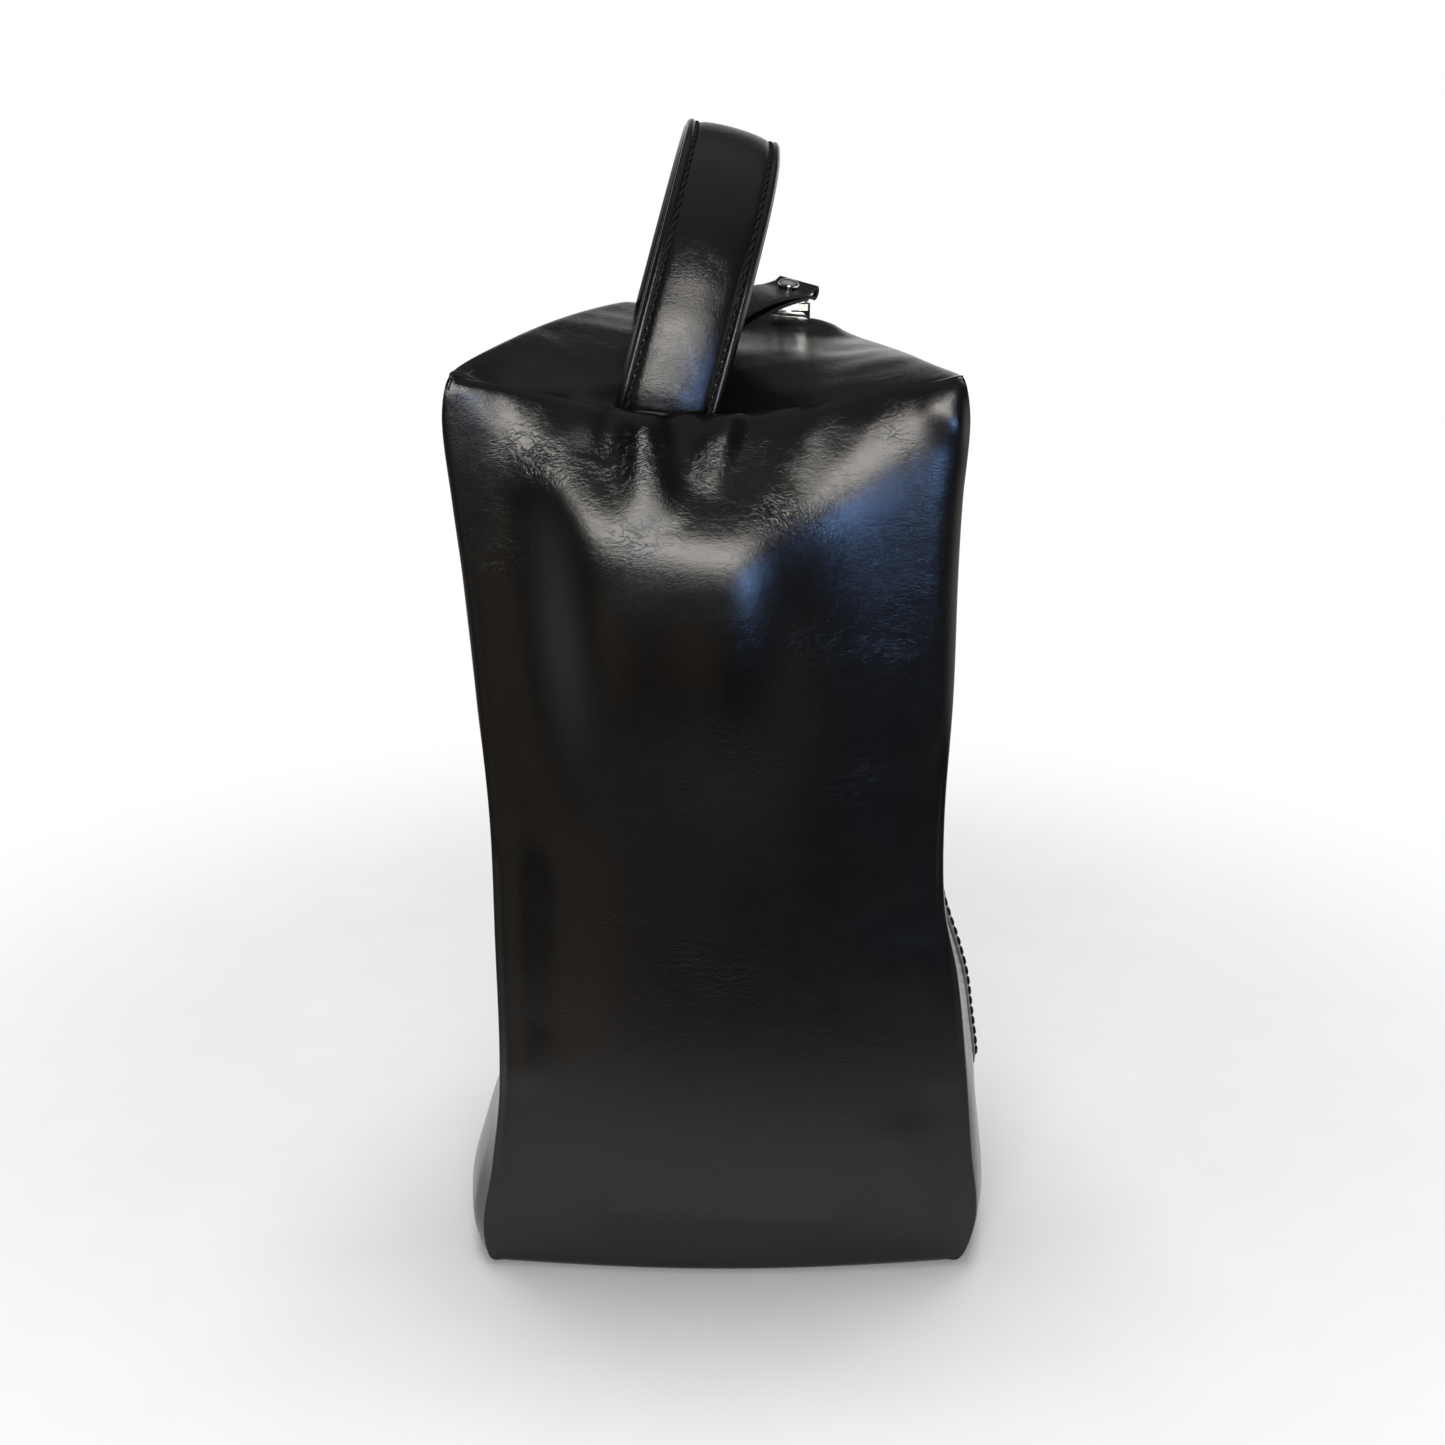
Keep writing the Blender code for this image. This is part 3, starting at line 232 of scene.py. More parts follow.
face_sheet = coons(foot_front, head_front, EDGE[0, 0], EDGE[1, 0])
left_sheet = coons(foot_left, head_left, EDGE[0, 0], EDGE[0, 1])
right_sheet = coons(foot_right, head_right, EDGE[1, 0], EDGE[1, 1])
upper_sheet = coons(head_front, head_back, head_left, head_right)
lower_end = coons(foot_front, foot_back, foot_left, foot_right)
brow_height = np.polynomial.Polynomial.fit(*np.array(BROW_LINE).T, 8)
brow_slope = brow_height.deriv()


def run_back(x, z):
    """How far the swag has run back over the brow line at (x, z)."""
    x = np.clip(x, -BASE_HALF_WIDTH, BASE_HALF_WIDTH)
    above = (z - brow_height(x)) / np.sqrt(1 + brow_slope(x) ** 2)
    return sum(slope * turn * np.logaddexp(0, (above + start) / turn)
               for slope, turn, start in BROW_TURNS)


def base_panel(s, t):
    place = face_sheet(s, t)
    head = head_front(s)
    swell = run_back(head[..., 0], head[..., 2]) - (head[..., 1] - FRONT_Y)
    upper = np.exp(-(np.clip((0.80 - t) / 0.80, 0, 1) / 0.30) ** 2)
    borders = 1 - (1 - arch(s)) ** 14
    relief = (run_back(place[..., 0], place[..., 2]) - swell * upper
              - (place[..., 1] - FRONT_Y) * smooth(0.35, 0.75, t)) * borders
    return place + points(0, relief * smooth(0.0, 0.05, t), 0)


def side_panel(sheet, bulge, sign):
    def surface(s, t):
        extra = through_stations(bulge, t) - mix(bulge[0][1], bulge[-1][1], t)
        return sheet(s, t) + points(sign * extra * arch(s), 0, 0)
    return surface


def upper_end(s, v):
    ratio = v / VALLEY_PLACE
    valley = VALLEY_DEPTH * ratio * np.exp(1 - ratio) * (1 - (1 - arch(s)) ** 4)
    return upper_sheet(s, v) - points(0, 0, valley)


# ------------------------------ grids and meshes
NEAR = (0.0, 0.0003, 0.0006, 0.0010, 0.0015, 0.0021, 0.0029, 0.0040, 0.0054)
NOTCH_SHARE = 1 - NOTCH_DEPTH / BAG_DEPTH
PANEL_WIDTH = 0.128      # across the base, for the spacing of its lines


def seam_lines(size, step, extra=()):
    """Shares along a panel, close together at its seams."""
    near = [d / size for d in NEAR]
    count = max(2, int(round((size - 2 * NEAR[-1]) / step)))
    middle = list(np.linspace(near[-1], 1 - near[-1], count + 1))
    lines = sorted(set(near + [1 - d for d in near] + middle))
    for line in extra:
        lines = [x for x in lines if abs(x - line) > 0.55 * step / size or x in (0.0, 1.0)]
        lines.append(line)
    return np.array(sorted(lines))


STEP = 0.0013
ACROSS = seam_lines(PANEL_WIDTH, STEP, extra=SLOT)
UP = seam_lines(BAG_LENGTH, STEP)
DEEP = seam_lines(BAG_DEPTH, STEP, extra=(NOTCH_SHARE,))


def grid_normals(place, flip):
    normal = np.cross(np.gradient(place, axis=1), np.gradient(place, axis=0))
    normal /= np.linalg.norm(normal, axis=-1)[..., None] + 1e-15
    return -normal if flip else normal


def value_noise(place, size, seed):
    """Smooth noise of about -1 to 1, with features of a given size."""
    flat = place.reshape(-1, 3) / size + seed * 7.31
    found = np.array([noise.noise(Vector(p)) for p in flat])
    return found.reshape(place.shape[:-1]) * 1.6


def ridge_height(u, v, ridges):
    """Sum of soft straight ridges and furrows in metres, at places in millimetres."""
    total = np.zeros(u.shape)
    for u0, v0, u1, v1, half, height in ridges:
        du, dv = u1 - u0, v1 - v0
        share = np.clip(((u - u0) * du + (v - v0) * dv) / (du * du + dv * dv), 0, 1)
        gap = np.hypot(u - u0 - share * du, v - v0 - share * dv)
        total += height * np.exp(-(gap / half) ** 2)
    return total / 1000


def pucker_height(x, z):
    """Sum of the gathers, each fullest just below the seam, in metres."""
    total = np.zeros(x.shape)
    for x0, z0, x1, z1, half, height in GATHERS:
        dx, dz = x1 - x0, z1 - z0
        run = math.hypot(dx, dz)
        u = ((x - x0) * dx + (z - z0) * dz) / run ** 2
        gap = ((x - x0) * dz - (z - z0) * dx) / run
        fullness = smooth(0.02, 0.26, u) * np.clip(1 - u, 0, 1)
        spread = half * (0.9 + 0.4 * np.clip(u, 0, 1))
        total += 1.2 * height * np.exp(-np.abs(gap / spread) ** 2.8) * fullness
    return total / 1000


ROLL = 0.0011        # how far a seam is drawn in
ROLL_REACH = 0.0042
ENDS_REACH = 0.006   # how far from a seam's ends it is fully drawn in
CORNER_REACH = 0.007
FRONT_ROLL = 0.3     # share of it at the two upright edges of the base, which are folded
SEAMS = {            # panel: (side s=0, side s=1, side t=0, side t=1)
    "base": ("front_left", "front_right", "foot_front", "head_front"),
    "left": ("front_left", "back_left", "foot_left", "head_left"),
    "right": ("front_right", "back_right", "foot_right", "head_right"),
    "upper": ("head_left", "head_right", "head_front", "head_back"),
    "lower": ("foot_left", "foot_right", "foot_front", "foot_back"),
}
PANELS = {           # panel: (surface, lines s, lines t, normals flipped)
    "base": (base_panel, ACROSS, UP, False),
    "left": (side_panel(left_sheet, LEFT_BULGE, -1), DEEP, UP, True),
    "right": (side_panel(right_sheet, RIGHT_BULGE, 1), DEEP, UP, False),
    "upper": (upper_end, ACROSS, DEEP, False),
    "lower": (lower_end, ACROSS, DEEP, True),
}
grids, seam_pull = {}, {}
for panel, (surface, lines_s, lines_t, flip) in PANELS.items():
    place = surface(*np.meshgrid(lines_s, lines_t))
    normal = grid_normals(place, flip)
    grids[panel] = (place, normal)
    for seam, border in zip(SEAMS[panel], (normal[:, 0], normal[:, -1], normal[0], normal[-1])):
        share = FRONT_ROLL if seam in ("front_left", "front_right") else 1.0
        seam_pull[seam] = seam_pull.get(seam, 0) - ROLL * share * border
for seam in ("back_left", "back_right", "foot_back", "head_back"):
    seam_pull[seam] = seam_pull[seam] + points(0, -ROLL, 0)
CORNERS = [(EDGE[r, b](float(e)), np.array([1 - 2 * r, 1 - 2 * b, 1 - 2 * e]) * ROLL)
           for r in (0, 1) for b in (0, 1) for e in (0, 1)]


def border_gaps(place):
    """Distances of a grid's places from its borders s=0, s=1, t=0 and t=1."""
    borders = (place[:, :1], place[:, -1:], place[:1], place[-1:])
    return [np.linalg.norm(place - border, axis=-1) for border in borders]


def border_mask(place, reach):
    return smooth(0, reach, np.minimum.reduce(border_gaps(place)))


def corner_offset(place):
    """Displacement that draws the bag's eight corners in."""
    return sum(pull * fall(np.linalg.norm(place - corner, axis=-1), CORNER_REACH)[..., None]
               for corner, pull in CORNERS)


def seam_offset(panel, place):
    """Displacement of a panel's grid that draws its seams and corners in."""
    total = corner_offset(place)
    for seam, gap, axis in zip(SEAMS[panel], border_gaps(place), (0, 0, 1, 1)):
        run = run_lengths(place[0] if axis else place[:, 0])
        pull = seam_pull[seam] * inside_ends(run)[:, None]
        total = total + (pull[None] if axis else pull[:, None]) * fall(gap, ROLL_REACH)[..., None]
    return total


def finish_mesh(name, data):
    data.validate()
    data.polygons.foreach_set("use_smooth", [True] * len(data.polygons))
    piece = bpy.data.objects.new(name, data)
    bpy.context.scene.collection.objects.link(piece)
    return piece


def mark_creases(piece, amount):
    """Stores how far the leather's fine creases show at each vertex."""
    values = (np.zeros(len(piece.data.vertices)) + amount).astype(np.float32)
    piece.data.attributes.new("creased", "FLOAT", "POINT").data.foreach_set("value", values)


def grid_mesh(name, place, keep=None, flip=False, crease=PLAIN_CREASE):
    """A mesh over a grid; keep marks the cells that are there, crease how fine creases show."""
    rows, columns = place.shape[:2]
    index = np.arange(rows * columns).reshape(rows, columns)
    quads = np.stack([index[:-1, :-1], index[:-1, 1:], index[1:, 1:], index[1:, :-1]], -1)
    quads = quads.reshape(-1, 4) if keep is None else quads[keep]
    if flip:
        quads = quads[:, ::-1]
    used, inverse = np.unique(quads, return_inverse=True)
    data = bpy.data.meshes.new(name)
    data.from_pydata(place.reshape(-1, 3)[used].tolist(), [], inverse.reshape(-1, 4).tolist())
    piece = finish_mesh(name, data)
    mark_creases(piece, np.clip(np.broadcast_to(crease, (rows, columns)), 0, 1).reshape(-1)[used])
    return piece


def thicken(piece, thickness):
    shell = piece.modifiers.new("thickness", "SOLIDIFY")
    shell.thickness = thickness
    shell.offset = -1
    return piece


def dress(piece, body, materials, slot, *nodes):
    """Gives a piece its material or materials, its body and the nodes it replaces; the slot is not used.
    """
    for material in materials if isinstance(materials, tuple) else (materials,):
        piece.data.materials.append(material)
    if body:
        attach(piece, body)
    if nodes:
        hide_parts(*nodes)
    return piece


# ------------------------------ materials
class Nodes:
    """Adds and links the nodes of one material or world."""

    def __init__(self, tree):
        self.tree = tree

    def fill(self, made, inputs):
        """Gives each input its value, or links it to the socket that is given for it."""
        for key, value in inputs.items():
            if isinstance(value, bpy.types.NodeSocket):
                self.tree.links.new(value, made.inputs[key])
            else:
                made.inputs[key].default_value = value

    def add(self, kind, inputs, output=0, **facts):
        """The output of a new node, or all its outputs where output is None."""
        made = self.tree.nodes.new("ShaderNode" + kind)
        for key, value in facts.items():
            setattr(made, key, value)
        self.fill(made, inputs)
        return made.outputs if output is None else made.outputs[output]

    def shade(self, inputs):
        self.fill(self.tree.nodes["Principled BSDF"], inputs)

    def place(self):
        return self.add("TexCoord", {}, "Object")

    def noise(self, place, scale, detail=2.0, roughness=0.5, distortion=0.0, output="Fac"):
        return self.add("TexNoise", {"Vector": place, "Scale": scale, "Detail": detail,
                                     "Roughness": roughness, "Distortion": distortion}, output)

    def bump(self, height, strength, distance):
        return self.add("Bump", {"Height": height, "Strength": strength, "Distance": distance})

    def eased(self, value, start, end, low, high):
        """From low to high in a smooth step, as a value goes from start to end."""
        return self.add("MapRange", {"Value": value, "From Min": start, "From Max": end,
                                     "To Min": low, "To Max": high}, interpolation_type="SMOOTHSTEP")

    def ramp(self, source, *stops):
        """Colours or grey levels at places along a value."""
        made = self.tree.nodes.new("ShaderNodeValToRGB")
        elements = made.color_ramp.elements
        while len(elements) < len(stops):
            elements.new(0.5)
        for element, (position, value) in zip(elements, stops):
            element.position = position
            element.color = (*(value if isinstance(value, tuple) else (value,) * 3), 1)
        self.fill(made, {"Fac": source})
        return made.outputs["Color"]


def new_material(name):
    material = bpy.data.materials.new(name)
    material.use_nodes = True
    return material, Nodes(material.node_tree)


def leather_material(name, dark, light, grain_size, grain, crease):
    """Near-black grained leather: pebbled grain, fine creases and a satin finish."""
    material, nodes = new_material(name)
    place = nodes.place()
    patch = nodes.noise(place, 28.0, 4.0, 0.6)
    wear = nodes.noise(place, 90.0, 5.0, 0.62)
    warp = nodes.noise(place, 160.0, 3.0, output="Color")
    bent = nodes.add("VectorMath", {0: warp, 1: (0.006, 0.006, 0.006), 2: place},
                     operation="MULTIPLY_ADD")
    cells = nodes.add("TexVoronoi", {"Vector": bent, "Scale": 1 / grain_size}, "Distance",
                      feature="DISTANCE_TO_EDGE")
    pebble = nodes.ramp(cells, (0.0, 0.0), (0.16, 0.75), (0.5, 1.0))
    drawn = nodes.add("VectorMath", {0: bent, 1: (0.75, 1.0, 1.9)}, operation="MULTIPLY")
    wrinkle = nodes.noise(drawn, 300.0, 3.0, 0.55, 0.6)
    crack = nodes.ramp(wrinkle, (0.38, 1.0), (0.47, 0.55), (0.5, 0.0), (0.53, 0.55), (0.62, 1.0))
    mask = nodes.add("Attribute", {}, "Fac", attribute_name="creased")
    shown = nodes.add("Math", {0: mask, 1: crease}, operation="MULTIPLY")
    grained = nodes.bump(pebble, grain, 0.00012)
    creased = nodes.add("Bump", {"Height": crack, "Strength": shown, "Distance": 0.00018,
                                 "Normal": grained})
    nodes.shade({"Base Color": nodes.ramp(patch, (0.32, dark), (0.72, light)),
                 "Roughness": nodes.ramp(wear, (0.28, 0.20), (0.74, 0.25)),
                 "Normal": creased, "Specular IOR Level": 0.47})
    return material


def metal_material(name, colour, rough):
    material, nodes = new_material(name)
    haze = nodes.noise(nodes.place(), 900.0, 3.0)
    dull = tuple(c * 0.93 for c in colour)
    nodes.shade({"Base Color": nodes.ramp(haze, (0.3, dull), (0.7, colour)),
                 "Roughness": nodes.ramp(haze, (0.3, rough), (0.75, rough + 0.08)),
                 "Normal": nodes.bump(haze, 0.06, 0.0001), "Metallic": 1.0})
    return material


def cloth_material(name, dark, light, scale, bump_height, sheen=0.2):
    """Woven cloth: two crossed waves for warp and weft."""
    material, nodes = new_material(name)
    place = nodes.place()
    form = {"Vector": place, "Scale": scale, "Distortion": 0.6, "Detail": 2.0}
    warp, weft = (nodes.add("TexWave", form, "Fac", wave_type="BANDS", bands_direction=axis)
                  for axis in "XZ")
    weave = nodes.add("Math", {0: warp, 1: weft}, operation="MULTIPLY")
    fibre = nodes.noise(place, 700.0)
    nodes.shade({"Base Color": nodes.ramp(weave, (0.0, dark), (0.8, light)),
                 "Roughness": nodes.ramp(fibre, (0.3, 0.78), (0.7, 0.95)),
                 "Normal": nodes.bump(weave, 0.6, bump_height), "Sheen Weight": sheen})
    return material


def raw_edge_material():
    material, nodes = new_material("raw_leather_edge")
    fibre = nodes.noise(nodes.place(), 1400.0, 5.0, 0.7)
    nodes.shade({"Base Color": nodes.ramp(fibre, (0.3, (0.006, 0.0055, 0.005)),
                                          (0.75, (0.022, 0.019, 0.017))),
                 "Roughness": nodes.ramp(fibre, (0.2, 0.6), (0.8, 0.85)),
                 "Normal": nodes.bump(fibre, 0.5, 0.0002), "Specular IOR Level": 0.25})
    return material


LEATHER_BLACK = leather_material("bag_leather", (0.0022, 0.0020, 0.0019), (0.0036, 0.0033, 0.0031),
                                 0.00075, 0.10, 0.90)
STRAP_BLACK = leather_material("strap_leather", (0.0032, 0.0031, 0.0030), (0.0052, 0.0050, 0.0048),
                               0.0007, 0.16, 0.2)
CHROME = metal_material("chrome", (0.80, 0.80, 0.79), 0.10)
NICKEL_TEETH = metal_material("zip_teeth_metal", (0.55, 0.55, 0.54), 0.24)
TAPE_CLOTH = cloth_material("zip_tape_cloth", (0.004, 0.004, 0.0045), (0.014, 0.014, 0.015),
                            260.0, 0.00015)
LINING_CLOTH = cloth_material("lining_cloth", (0.02, 0.02, 0.022), (0.045, 0.045, 0.048), 240.0, 0.0001)
THREAD = cloth_material("thread", (0.003, 0.003, 0.003), (0.010, 0.010, 0.010), 900.0, 0.00008, 0.0)
RAW_EDGE = raw_edge_material()


# ------------------------------ leather body
POCKET_DEEP, POCKET_HIGH = (0.20, 0.82), (0.19, 0.80)      # shares of the right side
POCKET_STITCHES, HEM_STITCHES = 0.0032, 0.0075             # how far from its edges they run


def base_relief(place):
    across = place[..., 0] / (2 * BASE_HALF_WIDTH) + 0.5
    bulge = 0.0026 * arch(across) * arch(place[..., 2] / BAG_LENGTH, 0.6)
    broad = bulge + 0.0002 * value_noise(place, 0.065, 1) + 0.00005 * value_noise(place, 0.020, 2)
    near_seam = smooth(0.225, 0.245, place[..., 2])
    return broad + 0.00012 * value_noise(place * np.array([1.0, 1.0, 0.35]), 0.0062, 3) * near_seam


def crease_map(place):
    """Where the fine creases show: over the swag and in a few patches below it."""
    x, z = place[..., 0] * 1000, place[..., 2] * 1000
    brow = brow_height(np.clip(place[..., 0], -BASE_HALF_WIDTH, BASE_HALF_WIDTH)) * 1000
    value = 0.20 * smooth(-14, 2, z - brow)
    for cx, cz, rx, rz, height in CREASES:
        value = np.maximum(value, height * np.exp(-((x - cx) / rx) ** 2 - ((z - cz) / rz) ** 2))
    return value * (0.65 + 0.5 * value_noise(place, 0.012, 9))


def side_relief(place, seed):
    return 0.0019 * value_noise(place, 0.052, seed) + 0.00024 * value_noise(place, 0.017, seed + 1)


def right_relief(place):
    """The side's soft relief, pressed in a little where the pocket lies on it."""
    s, t = np.meshgrid(DEEP, UP)
    inside = np.minimum.reduce([(s - POCKET_DEEP[0]) * BAG_DEPTH, (POCKET_DEEP[1] - s) * BAG_DEPTH,
                                (t - POCKET_HIGH[0]) * BAG_LENGTH, (POCKET_HIGH[1] - t) * BAG_LENGTH])
    return side_relief(place, 31) - 0.0012 * smooth(-0.0015, 0.0015, inside)


def end_relief(place):
    soft = 0.0007 * value_noise(place, 0.04, 14) + 0.0002 * value_noise(place, 0.014, 15)
    return soft + ridge_height(place[..., 0] * 1000, place[..., 1] * 1000, END_FOLDS)


def panel_piece(panel, name, node_name, relief=None, keep=None):
    """One leather panel with its relief; the base also has the swag's gathers and creases."""
    place, normal = grids[panel]
    height = relief(place) * border_mask(place, 0.009) if relief else np.zeros(place.shape[:2])
    if panel == "base":
        x, z = place[..., 0] * 1000, place[..., 2] * 1000
        height = height + (ridge_height(x, z, DENTS) + pucker_height(x, z)) * border_mask(place, 0.003)
    moved = place + normal * height[..., None] + seam_offset(panel, place)
    flip = PANELS[panel][3]
    grids[panel] = (moved, grid_normals(moved, flip))
    piece = grid_mesh(name, moved, keep, flip, crease_map(place) if panel == "base" else PLAIN_CREASE)
    return dress(thicken(piece, LEATHER), "bag", LEATHER_BLACK, "leather", node_name)


s_mid = (ACROSS[:-1] + ACROSS[1:]) / 2
v_mid = (DEEP[:-1] + DEEP[1:]) / 2
in_notch = ((s_mid > SLOT[0]) & (s_mid < SLOT[1]))[None] & (v_mid > NOTCH_SHARE)[:, None]
panel_piece("base", "leather_base", "base_panel", base_relief)
panel_piece("left", "leather_left_side", "left_side_panel", lambda place: side_relief(place, 21))
panel_piece("right", "leather_right_side", "right_side_panel", right_relief)
panel_piece("lower", "leather_lower_end", "lower_end_panel")
panel_piece("upper", "leather_upper_end", "upper_end_panel", end_relief, keep=~in_notch)

ZIP_STITCHES = 0.0030      # how far from the zip's gap they run
zip_lines = {}
for right, side in ((0, "left"), (1, "right")):
    width = 1 - SLOT[1] if right else SLOT[0]
    from_side = np.sort(1 - ACROSS if right else ACROSS)
    from_side = from_side[from_side < width + 1e-9]
    zip_lines[f"zip{right}"] = 1 - from_side if right else from_side
    s, t = np.meshgrid(from_side / width, UP)
    u, v = s[..., None], t[..., None]
    foot, head = foot_back(SLOT[right]), head_back(SLOT[right])
    place = EDGE[right, 1](t) * (1 - u) + (foot * (1 - v) + head * v) * u
    gap, to_slot = border_gaps(place)[:2]
    pull = seam_pull[f"back_{side}"] * inside_ends(place[:, 0, 2])[:, None]
    turn = -0.0012 * fall(to_slot, 0.0016)
    puff = 0.0005 * smooth(0, 0.004, to_slot) * smooth(0, 0.006, gap)
    valley = -0.00045 * np.exp(-((to_slot - ZIP_STITCHES) / 0.0006) ** 2)
    swell = 0.0010 * value_noise(place, 0.042, 41) * smooth(0.004, 0.018, to_slot) * smooth(0, 0.012, gap)
    moved = place + pull[:, None] * fall(gap, ROLL_REACH)[..., None]
    moved = moved + points(0, puff + turn + valley + swell, 0) + corner_offset(place)
    grids[f"zip{right}"] = (moved, None)
    piece = thicken(grid_mesh(f"leather_zip_strip_{side}", moved, flip=not right), LEATHER)
    dress(piece, "bag", LEATHER_BLACK, "leather", f"zip_panel_{side}")


# ------------------------------ solids of small pieces
def rectangle(u0, u1, v0, v1):
    return (u0, v0), (u1, v0), (u1, v1), (u0, v1)


def loft(made, rings, closed=False):
    """Walls from ring to ring of places; the last ring meets the first, or both ends get a cap."""
    rings = [[made.verts.new(place) for place in ring] for ring in rings]
    for one, two in zip(rings, rings[1:] + (rings[:1] if closed else [])):
        for wall in zip(one, one[1:] + one[:1], two[1:] + two[:1], two):
            made.faces.new(wall)
    if not closed:
        made.faces.new(reversed(rings[0]))
        made.faces.new(rings[-1])
    return made


def prism(outline, low, high, place=lambda u, v, w: (u, v, w), made=None):
    """A closed outline (u, v) drawn out from w = low to w = high."""
    made = made or bmesh.new()
    one, two = ([made.verts.new(place(u, v, w)) for u, v in outline] for w in (low, high))
    for face in (one, two[::-1], *zip(one[1:] + one[:1], one, two, two[1:] + two[:1])):
        made.faces.new(face)
    return made


def solid(name, made):
    bmesh.ops.recalc_face_normals(made, faces=made.faces)
    data = bpy.data.meshes.new(name)
    made.to_mesh(data)
    made.free()
    return finish_mesh(name, data)


def rounded(piece, width, segments=3, angle=35):
    bevel = piece.modifiers.new("round", "BEVEL")
    bevel.width = width
    bevel.segments = segments
    bevel.limit_method = "ANGLE"
    bevel.angle_limit = math.radians(angle)
    by_angle(piece)
    return piece


def by_angle(piece, angle=38):
    """Shades smooth, with edges sharper than the angle kept crisp."""
    piece.data.set_sharp_from_angle(angle=math.radians(angle))


def bake(piece):
    """Replaces a piece's mesh with what its modifiers make of it."""
    bpy.context.view_layer.update()
    result = bpy.data.meshes.new_from_object(piece.evaluated_get(bpy.context.evaluated_depsgraph_get()))
    piece.modifiers.clear()
    piece.data = result


def combine(piece, tool, operation):
    """Joins a tool's solid to a piece, or cuts it out of it."""
    change = piece.modifiers.new("combine", "BOOLEAN")
    change.operation = operation
    change.solver = "EXACT"
    change.object = tool
    bake(piece)
    bpy.data.objects.remove(tool, do_unlink=True)


def put(piece, matrix):
    """Moves a mesh by a matrix, leaving the object at the origin."""
    piece.data.transform(matrix)
    return piece


def tube(made, path, radius, up, sides=8, closed=False):
    """A round rod along a path; radius may be one number or one for each place."""
    count = len(path)
    radii = radius if hasattr(radius, "__len__") else [radius] * count
    rings = []
    for i, place in enumerate(path):
        before = path[i - 1] if (i or closed) else place
        after = path[(i + 1) % count] if (i + 1 < count or closed) else place
        along = (after - before).normalized()
        side = along.cross(up).normalized()
        top = side.cross(along)
        rings.append([place + (side * math.cos(a) + top * math.sin(a)) * radii[i]
                      for a in (2 * math.pi * (k + 0.5) / sides for k in range(sides))])
    loft(made, rings, closed)


STITCH_PITCH = 0.0032
# One thread between two holes: (share of its length, drop in radii, share of its radius)
STITCH_FORM = ((-0.5, 1.6, 0.55), (-0.42, 0.75, 0.85), (-0.25, 0.12, 1.0), (0.0, 0.0, 1.05),
               (0.25, 0.12, 1.0), (0.42, 0.75, 0.85), (0.5, 1.6, 0.55))


def stitch(made, centre, along, out, length=0.0027, radius=0.0003, slant=0.22):
    """One thread that rises from a hole and dives into the next."""
    run = (along + along.cross(out).normalized() * slant).normalized()
    path = [centre + run * (share * length) - out * (drop * radius) for share, drop, _ in STITCH_FORM]
    tube(made, path, [radius * full for _, _, full in STITCH_FORM], out, 7)


# ------------------------------ zip side
CLEARANCE = 0.0003
CAD_LEATHER = 0.0015
TAPE = 0.0005
TAPE_WIDTH = 0.013
TOOTH_HEIGHT = 0.0024
TOOTH_PITCH = 0.004
TOOTH_JAW = 0.0029
CORD = 0.0006
CHAIN_START = 0.009
CHAIN_Y = BACK_Y - CAD_LEATHER - CLEARANCE - TAPE / 2
TAPE_INNER = TOOTH_JAW + CORD + CLEARANCE
TAPE_EDGE = TAPE_INNER - 0.0002
EDGE_Z = mix(corner_height(0, 1), corner_height(1, 1), roof_share(ZIP_X))
SLIDER_Z = EDGE_Z - 0.0014
SLIDER_LENGTH = 0.011
EAR_WIDTH = ZIP_SLOT / 2 - 0.0012
EAR_TOP = SLIDER_Z + SLIDER_LENGTH / 2 + CLEARANCE + 0.0022
TAPE_FOOT, TAPE_TOP = 0.003, corner_height(1, 1) - 0.006
TOOTH_COUNT = int((SLIDER_Z + 0.001 - CHAIN_START) / TOOTH_PITCH)
tooth_side = ((-TOOTH_JAW, -0.00125), (-0.0016, -0.0012), (-0.0011, -0.00078), (0.0004, -0.00066),
              (0.0010, -0.00040))
TOOTH = (*tooth_side, (0.0011, 0.0), *((a, -b) for a, b in reversed(tooth_side)))

for side, name in ((-1, "left"), (1, "right")):
    u, z = np.meshgrid(np.linspace(TAPE_EDGE, TAPE_WIDTH, 14), np.linspace(TAPE_FOOT, TAPE_TOP, 150))
    wave = 0.00010 * np.sin(z * 900 + side) * smooth(0.004, 0.007, u)
    sheet = points(ZIP_X + side * u, CHAIN_Y + TAPE / 2 + wave, z)
    piece = grid_mesh(f"tape_{name}", sheet, flip=side > 0)
    u, z = np.meshgrid(np.linspace(TAPE_EDGE, EAR_WIDTH, 5), np.linspace(TAPE_TOP, EAR_TOP, 14))
    sheet = points(ZIP_X + side * u, CHAIN_Y + TAPE / 2, z)
    ear = grid_mesh(f"tape_ear_{name}", sheet, flip=side > 0)
    dress(thicken(piece, TAPE), "bag", TAPE_CLOTH, "tape", f"zip_tape_{name}")
    dress(thicken(ear, TAPE), "bag", TAPE_CLOTH, "tape")

    # The teeth that reach across to this side have their roots on the other tape
    rooted, shift = ("left", 0) if side > 0 else ("right", 0.5)
    teeth = bmesh.new()
    for k in range(TOOTH_COUNT):
        middle = CHAIN_START + (k + shift) * TOOTH_PITCH
        prism(TOOTH, -TOOTH_HEIGHT / 2, TOOTH_HEIGHT / 2,
              lambda a, b, w: (ZIP_X + side * a, CHAIN_Y + w, middle + b), teeth)
    row = rounded(solid(f"teeth_{rooted}", teeth), 0.0002, 2)
    dress(row, "bag", NICKEL_TEETH, "chrome", f"zip_teeth_{rooted}")
    bead = bmesh.new()
    x = ZIP_X + side * (TOOTH_JAW + CORD * 0.6)
    path = [Vector((x, CHAIN_Y, CHAIN_START - 0.001 + k * 0.004)) for k in range(61)]
    tube(bead, path, 0.0007, Vector((1, 0, 0)))
    dress(solid(f"tape_bead_{name}", bead), "bag", TAPE_CLOTH, "tape")

